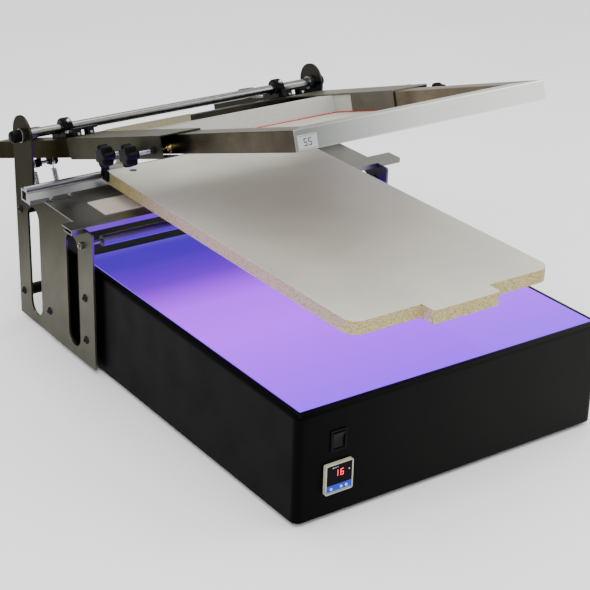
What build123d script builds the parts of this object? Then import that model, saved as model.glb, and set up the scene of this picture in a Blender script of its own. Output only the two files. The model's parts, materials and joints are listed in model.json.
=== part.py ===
"""Tabletop screen printing press on its exposure unit.

Millimetres, +Z up.  -Y is the front with the timer, +Y the rear with the pivot,
and +X is the right-hand side seen from the front.  The pieces are drawn about
the middle of the exposure unit's footprint.  Each is moved as it is written, so
that the origin of the files is on the table, in the middle of the whole press.

The swinging assembly (screen, arms, clamps) is drawn level, as it lies when a
print is made, and is then turned about the pivot shaft to its raised rest pose.
"""
import math
import os

from build123d import *

# ---------------------------------------------------------------- dimensions
CLEAR = 0.3          # air between pieces that move past each other
RUN = 0.05           # radial clearance of a running fit
OVER = 1.0           # how far a cutter runs past the face it starts from
SPAN = 400.0         # longer than the press is wide to one side

# Exposure unit
UNIT_W = 570.0
UNIT_D = 740.0
UNIT_BOTTOM = 8.0
UNIT_TOP = 180.0
SHEET = 2.0
CORNER_R = 12.0
RIM_R = 8.0
HALF_W = UNIT_W / 2
HALF_D = UNIT_D / 2
COVER_GAP = 0.5
COVER_R = 9.0
FEET = ((-245.0, -330.0), (245.0, -330.0), (-245.0, 330.0), (245.0, 330.0))
FOOT_R = 15.0
FOOT_TOP_R = 18.0
FOOT_HOLE_R = 6.0
FOOT_HOLE = 4.0

# Glass, flush with the rim; it stops short of the rear compartment
GLASS_W = 548.0
GLASS_FRONT = -HALF_D + 11.0
GLASS_REAR = 260.0
GLASS_T = 6.0
GLASS_GAP = 0.5
GLASS_EDGE = 0.8
SEAT_T = 1.5
LEDGE = 12.0
SEAL_T = 2.0
SEAL_W = 9.0
SEAL_INSET = 1.0
SEAT_Z = UNIT_TOP - GLASS_T - SEAL_T

# Lamps, their holders and the tray under them
LAMP_COUNT = 8
LAMP_PITCH = 60.0
LAMP_R = 13.0
LAMP_WALL = 1.0
LAMP_END = 3.0
LAMP_FRONT = -328.0
LAMP_REAR = 262.0
LAMP_Z = 128.0
LAMP_PIN_R = 1.2
LAMP_PIN_HOLE_R = 1.5
LAMP_PIN_X = 6.0
LAMP_PIN = 6.0
HOLDER_HALF = 11.0
HOLDER_T = 12.0
HOLDER_HOLE = 8.0
HOLDER_TOP = LAMP_Z + 15.0
TRAY_Z = 96.0
TRAY_T = 1.5
TRAY_HALF = 262.0
TRAY_FRONT = -341.0
TRAY_REAR = 276.0
TRAY_TOP = LAMP_Z + 22.0

# Timer
PANEL_X = -214.5
TIMER_Z = 67.0
TIMER_SIZE = 48.0
TIMER_PROUD = 6.0
TIMER_DEPTH = 60.0
TIMER_R = 3.0
TIMER_BORDER = 2.0
TIMER_POCKET = 2.0
WINDOW_GAP = 0.2
WINDOW_SINK = 0.5
STRIP_TOP = TIMER_Z - 10.0
KEY_X = (-14.0, 3.5, 12.5)
KEY_Z = TIMER_Z - 15.5
KEY_R = 2.2
KEY_HOLE_R = 2.6
KEY_PROUD = 0.4
KEY_TAIL = 1.0
KEY_HOLE = 3.0

# Rocker switch
SWITCH_Z = 125.0
SWITCH_W = 28.0
SWITCH_H = 34.0
SWITCH_PROUD = 2.0
SWITCH_R = 2.0
SWITCH_BORDER = 2.0
SWITCH_DEPTH = 25.0
SWITCH_WELL = (10.0, 13.5, 12.0)
ROCKER_HALF = 9.6
ROCKER_ROOT = (7.0, 8.0)
ROCKER_EDGE = (-0.5, 12.6)
ROCKER_TIP = (-1.5, 12.4)
ROCKER_DISH = 0.6
ROCKER_AXIS = 5.0
ROCKER_PIN_R = 1.5
ROCKER_PIN_HALF = 11.2
ROCKER_TILT = 7.0

# Mains inlet in the rear wall
INLET_X = 215.0
INLET_Z = 60.0
INLET_FLANGE = (25.0, 14.0, 3.0)
INLET_R = 4.0
INLET_BODY = (13.7, 10.2, 24.0)
INLET_WELL = (12.0, 8.2, 14.0)
INLET_PINS = ((-7.0, -2.0), (0.0, 2.5), (7.0, -2.0))
INLET_PIN = (1.0, 2.0, 12.0)
INLET_SCREW_X = 20.0
INLET_SCREW_R = 1.6

# Side plates and what joins them
PLATE_T = 4.0
PLATE_GAP = 8.0
PLATE_IN = HALF_W + PLATE_GAP
PLATE_OUT = PLATE_IN + PLATE_T
PLATE_FRONT = 188.0
PLATE_R = 4.0
POST_W = 68.0
SLOT_W = 41.0
SLOT_LOW = 26.0
SLOT_HIGH = 226.0
FRONT_SLOT_Y = 258.5
REAR_SLOT_Y = 397.5
BOLT_R = 4.0
BOLT_REACH = 20.0
BUTTON_R = 7.0
BUTTON_H = 4.4
BUTTON_EDGE = 3.0
SOCKET = 5.0
SOCKET_FLOOR = 1.8
BOLT_NUT = 13.0
BOLT_NUT_T = 6.0
SPACER_R = 9.0
UNIT_BOLTS = ((217.0, 53.0), (217.0, 129.0), (348.0, 53.0))
TIE_Y = 445.0
LOWER_TIE_Z = 54.0
UPPER_TIE_Z = 207.0
TIE_R = 10.0
TIE_HOLE = 24.0
FRONT_TUBE_Y = 221.0
FRONT_TUBE_Z = 221.0
FRONT_TUBE_R = 9.0
FRONT_TUBE_HALF = 262.0
STUD_R = 3.0
STUD_END = 8.0
STUD_NUT = 10.0
STUD_NUT_T = 5.0

# Pivot shaft
SHAFT_Y = 427.0
SHAFT_Z = 345.0
SHAFT_R = 8.0
SHAFT_END = PLATE_OUT + 12.0
POST_R = POST_W / 2
POST_REAR = SHAFT_Y + POST_R
POST_FRONT = SHAFT_Y - POST_R
COLLAR_R = 12.0
COLLAR_W = 8.0
WASHER_T = 4.0
CAP_R = 10.5
CAP_LENGTH = 18.0
CAP_EDGE = 6.0
REST_TILT = 17.6

# Shelf on the side plates
SHELF_Z = 250.0
SHELF_TOP = SHELF_Z + SHEET
SHELF_FRONT = 216.0
SHELF_REAR = 390.0
SHELF_LIP = 9.0
SHELF_SLIT = 0.5
TAB_LEFT = 318.0
TAB_RIGHT = 345.0
TAB_REAR = 250.0
TAB_FOLD = 28.0
TAB_FOLD_IN = PLATE_OUT + 1.0

# Rail behind the platen: its section is given from its front lower corner
RAIL_FRONT = 348.0
RAIL_HALF = 325.0
RAIL_DEPTH = 32.0
RAIL_FACE = 8.0
RAIL_APRON = (9.0, 17.0)
RAIL_GROOVE = ((12.0, 18.5), (11.0, 21.0))
RAIL_BEAD = ((16.0, 28.0), (21.0, 21.0))
RAIL_CORE = (14.0, 29.0, 3.0, 18.0)
RAIL_SCREW_X = (286.0, 252.0)
RAIL_SCREW_Z = SHELF_TOP + 4.0
RAIL_SCREW_R = 2.0
RAIL_SCREW = 10.0
RAIL_HEAD_R = 3.6
RAIL_HEAD_T = 3.5
FOOT_SCREW = (269.0, 355.0)
FOOT_SCREW_TOP = SHELF_TOP + 10.0
FOOT_HEAD_R = 4.6
FOOT_HEAD_T = 3.0

# Platen, its supports and the fittings at its rear edge
SUPPORT_T = 14.0
SHEET_BLOCK = (-240.0, 240.0, 247.0, 308.0)
FRONT_BLOCK = (100.0, 165.0, 255.0, 300.0)
REAR_BLOCK = (120.0, 165.0, 312.0, 340.0)
PLATEN_T = 22.0
LAMINATE = 0.8
PLATEN_HALF = 185.0
PLATEN_REAR = 343.0
PLATEN_FRONT = -350.0
PLATEN_R = 22.0
NOSE_HALF = 62.0
NOSE_FRONT = -377.0
NOSE_R = 6.0
NOSE_ROOT = 20.0
PLATEN_LOW = SHELF_TOP + SUPPORT_T
PLATEN_TOP = PLATEN_LOW + PLATEN_T
PLATEN_SCREW = (145.0, 322.0)
SCREW_SHANK_R = 2.5
SCREW_HOLE_R = 2.6
SINK_R = 6.5
SINK = 5.0
PLATEN_HEAD_R = 5.5
PLATEN_HEAD_T = 4.4
PLATEN_NUT = 8.0
PLATEN_NUT_T = 5.0
PLATEN_TAIL = 4.0
BRACKET_X = (150.0, 178.0)
BRACKET_T = 3.0
BRACKET_LOW = PLATEN_LOW + 2.0
BRACKET_TOP = PLATEN_TOP + 17.0
BRACKET_R = 4.0
BRACKET_HOLE = (167.5, PLATEN_TOP + 11.5, 3.2)
BRACKET_SCREW = (165.0, PLATEN_TOP - 11.0)
BRACKET_SCREW_R = 2.0
BRACKET_SCREW_IN = 10.0
BRACKET_HOLE_IN = 12.0
BRACKET_HEAD_R = 3.5
BRACKET_HEAD_T = 1.6
HOOK_X = (179.0, 193.0)
HOOK_T = 4.6
HOOK_Z = (PLATEN_TOP - 8.0, PLATEN_TOP + 9.0)
HOOK_LEG_T = 5.0
HOOK_LEG_REACH = 12.0
HOOK_LEG_Z = (PLATEN_TOP - 16.0, PLATEN_TOP + 2.0)

# Swinging assembly: S runs back from the shaft and N up from it, drawn level
SCREEN_HALF = 225.5
SCREEN_LENGTH = 530.0
SCREEN_BAR = 40.0
SCREEN_H = 30.0
SCREEN_WALL = 2.0
SCREEN_R = 3.0
SCREEN_S = -711.0
SCREEN_N = -46.0
SCREEN_REAR = SCREEN_S + SCREEN_LENGTH
OPENING_HALF = SCREEN_HALF - SCREEN_BAR
MESH_T = 0.4
MESH_EDGE = 6.0
BEAD_W = 2.0
BEAD_H = 1.6
TAPE_T = 0.5
TAPE_LOW = 2.0
TAPE_REACH = 55.0
TAPE_GAP = 0.1
LABEL_X = (-220.5, -188.5)
LABEL_N = (SCREEN_N + 1.0, SCREEN_N + 22.0)
LABEL_T = 0.4

# Clamp channels, arms and the bar between them
CHANNEL_OUT = 254.5
CHANNEL_T = 2.0
CHANNEL_GAP = 0.5
CHANNEL_FRONT = -395.0
CHANNEL_REAR = -79.0
CHANNEL_TAPER = 8.0
LIP_REAR = -276.0
LIP_LOW = SCREEN_N + 1.9
LIP_GAP = 0.8
FLANGE_GAP = 2.0
ARM_IN = 215.5
ARM_OUT = CHANNEL_OUT - CHANNEL_T
ARM_FRONT = -166.0
ARM_REAR = 229.0
ARM_TOP = SCREEN_N + SCREEN_H
ARM_WALL = 2.0
ARM_CAP = 4.0
ARM_CAP_R = 2.0
ARM_PLUG = 10.0
CROSS_FRONT = -47.0
CROSS_REAR = -17.0
FACING_X = (-165.0, 0.0)
FACING_T = 3.0
FACING_LOW = 2.0
FACING_ABOVE = 3.0

# Screen clamps
SCREW_S = (-369.0, -291.0)
SCREW_N = SCREEN_N + 10.5
SCREW_R = 3.0
NUT_T = 6.0
NUT_SIZE = 10.0
TIP_R = 2.2
TIP_START = SCREEN_HALF + 4.6
TIP_END = SCREEN_HALF + 9.0
PAD_R = 8.5
PAD_T = 3.0
CUP_R = 5.5
CUP_T = 5.0
CUP_FLOOR = 4.0
KNOB_R = 18.5
KNOB_IN = 282.0
KNOB_T = 24.0
KNOB_NECK = 6.0
KNOB_BORE = 14.0
KNOB_EDGE = 1.5
HUB_R = 9.0
HUB_T = 8.0
LOBES = 7
LOBE_R = 5.2
LOBE_TURN = 12.0
LOBE_ROOT_R = 1.5

# Pivot blocks
BLOCK_X = 216.0
BLOCK_W = 18.0
BLOCK_R = 17.0
BLOCK_EDGE = 4.0
BLOCK_FOOT_W = 28.0
BLOCK_FOOT_HALF = 31.0
BLOCK_FOOT_T = 7.0
BLOCK_FOOT_R = 5.0
BUSH_R = 11.0
BLOCK_BOLT_X = 223.0
BLOCK_BOLT_S = (-22.5, 22.5)
BLOCK_BOLT_R = 3.0
BLOCK_BOLT = 14.0
BLOCK_HEAD_R = 4.8
BLOCK_HEAD_T = 4.0
BLOCK_SOCKET = 4.5
BLOCK_SOCKET_FLOOR = 2.0
PLUG_HOLE_R = 3.0
PLUG_R = 2.9
PLUG_START = 12.0
PLUG_PROUD = 3.0
PLUG_HEAD_R = 4.2
PLUG_TILT = 40.0 + REST_TILT

# Guard clips in front of the shaft: left end and width of each
GUARDS = ((-222.0, 36.0), (206.0, 40.0))
GUARD_DEPTH = 15.5
GUARD_LEG = 12.0
GUARD_T = 4.0
GUARD_H = 14.0
GUARD_REACH = 7.0
GUARD_HEAD_R = 2.4
GUARD_HEAD_T = 2.0
GUARD_HEAD_UP = 4.0

# Knobs on the arms' tails
TAIL_KNOB_X = 224.0
TAIL_KNOB_S = 118.0
TAIL_KNOB_R = 16.5
TAIL_KNOB_T = 16.0
TAIL_KNOB_EDGE = 4.0
TAIL_NECK_R = 8.0
TAIL_NECK_T = 3.0
TAIL_STUD_R = 3.0
TAIL_STUD = 8.0

# Lifting springs and the pins they hang on
SPRING_PIN_S = 69.0
SPRING_PIN_N = SCREEN_N - 10.0
SPRING_PIN_R = 3.0
SPRING_PIN_X = (211.0, 264.0)
PIN_HEAD_R = 5.5
PIN_HEAD_T = 2.0
PIN_COLLAR_R = 7.5
PIN_COLLARS = ((211.0, 216.5), (221.5, 224.0), (244.0, 253.5), (258.5, 264.0))
LUG_X = (224.0, 244.0)
LUG_HALF = 8.0
LUG_BELOW = 6.0
LUG_T = 2.0
SPRING_X = (219.0, 256.0)
SPRING_WIRE = 2.0
SPRING_TURN_R = 4.0
SPRING_TURNS = 16
SPRING_PITCH = 2.6
SPRING_NECK = 9.0
SPRING_RISE = 30.0
BAR_HOOK = (200, 85, -30)
PIN_HOOK = (0, 100, 200)

# Middle of the whole press, seen from above, with the screen raised
REAR_TILT = math.radians(REST_TILT)
REAR_S = ARM_REAR + ARM_CAP - ARM_CAP_R
REAR_N = ARM_TOP - ARM_CAP_R
REAR_REACH = SHAFT_Y + REAR_S * math.cos(REAR_TILT) + REAR_N * math.sin(REAR_TILT) + ARM_CAP_R
MIDDLE_X = (TAB_RIGHT - RAIL_HALF) / 2
MIDDLE_Y = (REAR_REACH + NOSE_FRONT) / 2

os.makedirs("parts", exist_ok=True)
NODES = {}


# ------------------------------------------------------------------- helpers
def block(x0, x1, y0, y1, z0, z1):
    """A rectangular solid between two opposite corners."""
    size = (abs(x1 - x0), abs(y1 - y0), abs(z1 - z0))
    middle = ((x0 + x1) / 2, (y0 + y1) / 2, (z0 + z1) / 2)
    return Pos(*middle) * Box(*size)


def rod_x(x0, x1, y, z, radius):
    """A round bar along X."""
    return Pos((x0 + x1) / 2, y, z) * Rot(0, 90, 0) * Cylinder(radius, abs(x1 - x0))


def rod_y(y0, y1, x, z, radius):
    """A round bar along Y."""
    return Pos(x, (y0 + y1) / 2, z) * Rot(90, 0, 0) * Cylinder(radius, abs(y1 - y0))


def rod_z(z0, z1, x, y, radius):
    """A round bar along Z."""
    return Pos(x, y, (z0 + z1) / 2) * Cylinder(radius, abs(z1 - z0))


def hexagon(across):
    """Outline of a nut or a socket, given across its flats."""
    return RegularPolygon(across / 2, 6, major_radius=False)


def hex_x(x0, x1, y, z, across):
    """A hexagonal nut or socket along X."""
    return extrude(Plane.YZ.offset(min(x0, x1)) * Pos(y, z) * hexagon(across), abs(x1 - x0))


def hex_z(z0, z1, x, y, across):
    """A hexagonal nut or socket along Z."""
    return extrude(Plane.XY.offset(z0) * Pos(x, y) * hexagon(across), z1 - z0)


def tube_y(x0, x1, y0, y1, z0, z1, wall):
    """A rectangular tube along Y, open at both ends."""
    outer = block(x0, x1, y0, y1, z0, z1)
    return outer - block(x0 + wall, x1 - wall, y0 - OVER, y1 + OVER, z0 + wall, z1 - wall)


def outer_rim(shape, side):
    """The circular edge of a head that lies farthest out on its side."""
    rims = shape.edges().filter_by(GeomType.CIRCLE).sort_by(Axis.X)
    return rims[-1] if side > 0 else rims[0]


def swing_box(x0, x1, s0, s1, n0, n1):
    """A rectangular solid in the swinging assembly's level frame."""
    return block(x0, x1, SHAFT_Y + s0, SHAFT_Y + s1, SHAFT_Z + n0, SHAFT_Z + n1)


def raised(shape):
    """Turn a level piece of the swinging assembly up to its rest pose."""
    return shape.rotate(Axis((0, SHAFT_Y, SHAFT_Z), (1, 0, 0)), -REST_TILT)


def on_side(shape, side):
    """The piece itself for the right-hand side, its mirror image for the left."""
    if side > 0:
        return shape
    return mirror(shape, about=Plane.YZ)


def group(pieces):
    """Separate solids that share one node."""
    solids = []
    for piece in pieces:
        solids.extend(piece.solids())
    return Compound(children=solids) if len(solids) > 1 else solids[0]


def add(name, shape):
    """Write one named node, moved to the origin of the whole press."""
    NODES[name] = Pos(-MIDDLE_X, -MIDDLE_Y, 0) * shape
    export_step(NODES[name], "parts/" + name + ".step")


# ------------------------------------------------------------ exposure unit
def panel_cut(x, z, half_w, half_h, y):
    """Cutter through the front or the rear wall for a body let into it."""
    return block(x - half_w, x + half_w, y - RIM_R, y + RIM_R, z - half_h, z + half_h)


def unit_shell():
    """Folded casing, open below, with the window for the glass."""
    height = UNIT_TOP - UNIT_BOTTOM
    outer = extrude(Plane.XY.offset(UNIT_BOTTOM) * RectangleRounded(UNIT_W, UNIT_D, CORNER_R), height)
    outer = fillet(outer.faces().sort_by(Axis.Z)[-1].edges(), RIM_R)
    hollow = RectangleRounded(UNIT_W - 2 * SHEET, UNIT_D - 2 * SHEET, CORNER_R - SHEET)
    inner = extrude(Plane.XY.offset(UNIT_BOTTOM - OVER) * hollow, height + OVER - SHEET)
    inner = fillet(inner.faces().sort_by(Axis.Z)[-1].edges(), RIM_R - SHEET)
    shell = outer - inner
    half = GLASS_W / 2 + GLASS_GAP
    shell -= block(-half, half, GLASS_FRONT - GLASS_GAP, GLASS_REAR + GLASS_GAP, SEAT_Z, UNIT_TOP + OVER)
    timer = TIMER_SIZE / 2 - TIMER_BORDER + CLEAR
    shell -= panel_cut(PANEL_X, TIMER_Z, timer, timer, -HALF_D)
    switch_w = SWITCH_W / 2 - SWITCH_BORDER
    switch_h = SWITCH_H / 2 - SWITCH_BORDER
    shell -= panel_cut(PANEL_X, SWITCH_Z, switch_w, switch_h, -HALF_D)
    shell -= panel_cut(INLET_X, INLET_Z, INLET_BODY[0] + CLEAR, INLET_BODY[1] + CLEAR, HALF_D)
    for side in (-1, 1):
        for y, z in UNIT_BOLTS:
            shell -= rod_x(side * (HALF_W - RIM_R), side * (HALF_W + RIM_R), y, z, BOLT_R + RUN)
    return shell


def glass_frame():
    """Angle frame under the rim that carries the glass."""
    top = UNIT_TOP - SHEET
    half = GLASS_W / 2 + GLASS_GAP
    front = GLASS_FRONT - GLASS_GAP
    rear = GLASS_REAR + GLASS_GAP
    ring = block(-half - SEAT_T, half + SEAT_T, front - SEAT_T, rear + SEAT_T, SEAT_Z - SEAT_T, top)
    ring -= block(-half, half, front, rear, SEAT_Z, top + OVER)
    return ring - block(-half + LEDGE, half - LEDGE, front + LEDGE, rear - LEDGE,
                        SEAT_Z - SEAT_T - OVER, top + OVER)


def glass_seal():
    """Foam strip between the ledge and the glass."""
    half = GLASS_W / 2 - SEAL_INSET
    front = GLASS_FRONT + SEAL_INSET
    rear = GLASS_REAR - SEAL_INSET
    ring = block(-half, half, front, rear, SEAT_Z, SEAT_Z + SEAL_T)
    return ring - block(-half + SEAL_W, half - SEAL_W, front + SEAL_W, rear - SEAL_W,
                        SEAT_Z - OVER, SEAT_Z + SEAL_T + OVER)


def reflector_tray():
    """Bright folded tray under the lamps, standing on the bottom cover."""
    inner = TRAY_HALF - TRAY_T
    tray = block(-TRAY_HALF, TRAY_HALF, TRAY_FRONT, TRAY_REAR, TRAY_Z, TRAY_Z + TRAY_T)
    for side in (-1, 1):
        tray += block(side * inner, side * TRAY_HALF, TRAY_FRONT, TRAY_REAR, UNIT_BOTTOM + SHEET, TRAY_TOP)
    return tray + block(-TRAY_HALF, TRAY_HALF, TRAY_REAR - TRAY_T, TRAY_REAR, TRAY_Z, TRAY_TOP)


def lamps():
    """Row of lamps along Y, each between two holders."""
    tubes = []
    holders = []
    for i in range(LAMP_COUNT):
        x = (i - (LAMP_COUNT - 1) / 2) * LAMP_PITCH
        tube = rod_y(LAMP_FRONT, LAMP_REAR, x, LAMP_Z, LAMP_R)
        for end, out in ((LAMP_FRONT, -1), (LAMP_REAR, 1)):
            holder = block(x - HOLDER_HALF, x + HOLDER_HALF, end + out * CLEAR, end + out * HOLDER_T,
                           TRAY_Z + TRAY_T, HOLDER_TOP)
            for side in (-1, 1):
                pin_x = x + side * LAMP_PIN_X
                tube += rod_y(end, end + out * LAMP_PIN, pin_x, LAMP_Z, LAMP_PIN_R)
                holder -= rod_y(end, end + out * HOLDER_HOLE, pin_x, LAMP_Z, LAMP_PIN_HOLE_R)
            holders.append(holder)
        tubes.append(tube - rod_y(LAMP_FRONT + LAMP_END, LAMP_REAR - LAMP_END, x, LAMP_Z, LAMP_R - LAMP_WALL))
    add("uv_lamps", group(tubes))
    add("lamp_holders", group(holders))


def exposure_unit():
    """Casing, glass, lamps and what carries them."""
    add("unit_shell", unit_shell())
    margin = 2 * SHEET + 2 * COVER_GAP
    cover = Plane.XY.offset(UNIT_BOTTOM) * RectangleRounded(UNIT_W - margin, UNIT_D - margin, COVER_R)
    add("bottom_cover", extrude(cover, SHEET))
    feet = []
    for x, y in FEET:
        foot = Pos(x, y, UNIT_BOTTOM / 2) * Cone(FOOT_R, FOOT_TOP_R, UNIT_BOTTOM)
        feet.append(foot - rod_z(-OVER, FOOT_HOLE, x, y, FOOT_HOLE_R))
    add("rubber_feet", group(feet))
    add("glass_frame", glass_frame())
    add("glass_seal", glass_seal())
    glass = block(-GLASS_W / 2, GLASS_W / 2, GLASS_FRONT, GLASS_REAR, UNIT_TOP - GLASS_T, UNIT_TOP)
    add("glass_top", chamfer(glass.faces().sort_by(Axis.Z)[-1].edges(), GLASS_EDGE))
    add("reflector_tray", reflector_tray())
    lamps()


def timer():
    """Square timer let into the panel, with its window, key strip and keys."""
    face = -HALF_D
    front = face - TIMER_PROUD
    half = TIMER_SIZE / 2
    inner = half - TIMER_BORDER
    body = block(PANEL_X - half, PANEL_X + half, front, face, TIMER_Z - half, TIMER_Z + half)
    body = fillet(body.edges().filter_by(Axis.Y), TIMER_R)
    body += block(PANEL_X - inner, PANEL_X + inner, face, face + TIMER_DEPTH,
                  TIMER_Z - inner, TIMER_Z + inner)
    body -= block(PANEL_X - inner, PANEL_X + inner, front - OVER, front + TIMER_POCKET,
                  TIMER_Z - inner, TIMER_Z + inner)
    pane = inner - WINDOW_GAP
    left = PANEL_X - pane
    right = PANEL_X + pane
    sunk = front + WINDOW_SINK
    back = front + TIMER_POCKET
    window = block(left, right, sunk, back, STRIP_TOP + WINDOW_GAP, TIMER_Z + pane)
    strip = block(left, right, sunk, back, TIMER_Z - pane, STRIP_TOP)
    for index, offset in enumerate(KEY_X):
        x = PANEL_X + offset
        hole = rod_y(front - OVER, face + KEY_HOLE, x, KEY_Z, KEY_HOLE_R)
        body -= hole
        strip -= hole
        add(f"timer_key_{index + 1}", rod_y(front - KEY_PROUD, face + KEY_TAIL, x, KEY_Z, KEY_R))
    add("timer_body", body)
    add("timer_window", group([window, strip]))


def rocker_switch():
    """Switch frame let into the panel and its rocker, tilted to one side."""
    face = -HALF_D
    z = SWITCH_Z
    half_w = SWITCH_W / 2
    half_h = SWITCH_H / 2
    body_w = half_w - SWITCH_BORDER - CLEAR
    body_h = half_h - SWITCH_BORDER - CLEAR
    well_w, well_h, well = SWITCH_WELL
    frame = block(PANEL_X - half_w, PANEL_X + half_w, face - SWITCH_PROUD, face, z - half_h, z + half_h)
    frame = fillet(frame.edges().filter_by(Axis.Y), SWITCH_R)
    frame += block(PANEL_X - body_w, PANEL_X + body_w, face, face + SWITCH_DEPTH, z - body_h, z + body_h)
    frame -= block(PANEL_X - well_w, PANEL_X + well_w, face - SWITCH_PROUD - OVER, face + well,
                   z - well_h, z + well_h)
    pin = ROCKER_PIN_HALF
    frame -= rod_x(PANEL_X - pin - CLEAR, PANEL_X + pin + CLEAR, face + ROCKER_AXIS, z, ROCKER_PIN_R + RUN)
    add("switch_frame", frame)
    outline = [
        (ROCKER_ROOT[0], -ROCKER_ROOT[1]),
        (ROCKER_EDGE[0], -ROCKER_EDGE[1]),
        (ROCKER_TIP[0], -ROCKER_TIP[1]),
        (ROCKER_TIP[0], ROCKER_TIP[1]),
        (ROCKER_EDGE[0], ROCKER_EDGE[1]),
        (ROCKER_ROOT[0], ROCKER_ROOT[1]),
    ]
    points = [(face + y, z + high) for y, high in outline]
    with BuildPart() as rocker:
        with BuildSketch(Plane.YZ.offset(PANEL_X - ROCKER_HALF)):
            with BuildLine():
                Polyline(*points[:3])
                ThreePointArc(points[2], (face + ROCKER_DISH, z), points[3])
                Polyline(*points[3:], points[0])
            make_face()
        extrude(amount=2 * ROCKER_HALF)
    seesaw = rocker.part + rod_x(PANEL_X - pin, PANEL_X + pin, face + ROCKER_AXIS, z, ROCKER_PIN_R)
    axis = Axis((PANEL_X, face + ROCKER_AXIS, z), (1, 0, 0))
    add("switch_rocker", seesaw.rotate(axis, ROCKER_TILT))


def power_inlet():
    """Three-pin mains inlet in the rear wall."""
    rear = HALF_D
    half_w, half_h, thick = INLET_FLANGE
    body_w, body_h, body = INLET_BODY
    well_w, well_h, well = INLET_WELL
    pin_w, pin_h, pin = INLET_PIN
    inlet = block(INLET_X - half_w, INLET_X + half_w, rear, rear + thick, INLET_Z - half_h, INLET_Z + half_h)
    inlet = fillet(inlet.edges().filter_by(Axis.Y), INLET_R)
    inlet += block(INLET_X - body_w, INLET_X + body_w, rear - body, rear, INLET_Z - body_h, INLET_Z + body_h)
    inlet -= block(INLET_X - well_w, INLET_X + well_w, rear - well, rear + thick + OVER,
                   INLET_Z - well_h, INLET_Z + well_h)
    for x, z in INLET_PINS:
        inlet += block(INLET_X + x - pin_w, INLET_X + x + pin_w, rear - well - OVER, rear - well + pin,
                       INLET_Z + z - pin_h, INLET_Z + z + pin_h)
    for side in (-1, 1):
        x = INLET_X + side * INLET_SCREW_X
        inlet -= rod_y(rear - OVER, rear + thick + OVER, x, INLET_Z, INLET_SCREW_R)
    add("power_inlet", inlet)


# ----------------------------------------------------------------- the stand
def obround(y):
    """Cutter for an upright round-ended slot in a side plate."""
    radius = SLOT_W / 2
    low = SLOT_LOW + radius
    high = SLOT_HIGH - radius
    cutter = block(0, SPAN, y - radius, y + radius, low, high)
    cutter += rod_x(0, SPAN, y, low, radius)
    return cutter + rod_x(0, SPAN, y, high, radius)


def side_plate():
    """Right-hand plate: low front part and a round-topped post for the shaft."""
    plate = block(PLATE_IN, PLATE_OUT, PLATE_FRONT, POST_REAR, UNIT_BOTTOM, SHELF_Z)
    plate += block(PLATE_IN, PLATE_OUT, POST_FRONT, POST_REAR, UNIT_BOTTOM, SHAFT_Z)
    plate += rod_x(PLATE_IN, PLATE_OUT, SHAFT_Y, SHAFT_Z, POST_R)
    plate = fillet(plate.edges().filter_by(Axis.X).group_by(Axis.Y)[0], PLATE_R)
    plate -= obround(FRONT_SLOT_Y)
    plate -= obround(REAR_SLOT_Y)
    plate -= rod_x(0, SPAN, SHAFT_Y, SHAFT_Z, SHAFT_R + RUN)
    for y, z in UNIT_BOLTS + ((TIE_Y, LOWER_TIE_Z), (TIE_Y, UPPER_TIE_Z)):
        plate -= rod_x(0, SPAN, y, z, BOLT_R + RUN)
    plate -= rod_x(0, SPAN, FRONT_TUBE_Y, FRONT_TUBE_Z, STUD_R + RUN)
    return plate - block(0, SPAN, SHELF_FRONT - SHELF_SLIT, SHELF_FRONT + SHEET + SHELF_SLIT,
                         SHELF_TOP - SHELF_LIP - SHELF_SLIT, SHELF_Z + OVER)


def button_bolt(side, y, z):
    """Button-head bolt through a side plate, its tip inward."""
    shank = rod_x(side * (PLATE_IN - BOLT_REACH), side * PLATE_OUT, y, z, BOLT_R)
    head = rod_x(side * PLATE_OUT, side * (PLATE_OUT + BUTTON_H), y, z, BUTTON_R)
    head = fillet(outer_rim(head, side), BUTTON_EDGE)
    socket = hex_x(side * (PLATE_OUT + SOCKET_FLOOR), side * (PLATE_OUT + BUTTON_H + OVER), y, z, SOCKET)
    return shank + head - socket


def unit_bolt(side, y, z):
    """Bolt that holds a plate to the exposure unit, with its nut inside."""
    wall = HALF_W - SHEET
    return button_bolt(side, y, z) + hex_x(side * wall, side * (wall - BOLT_NUT_T), y, z, BOLT_NUT)


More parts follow.
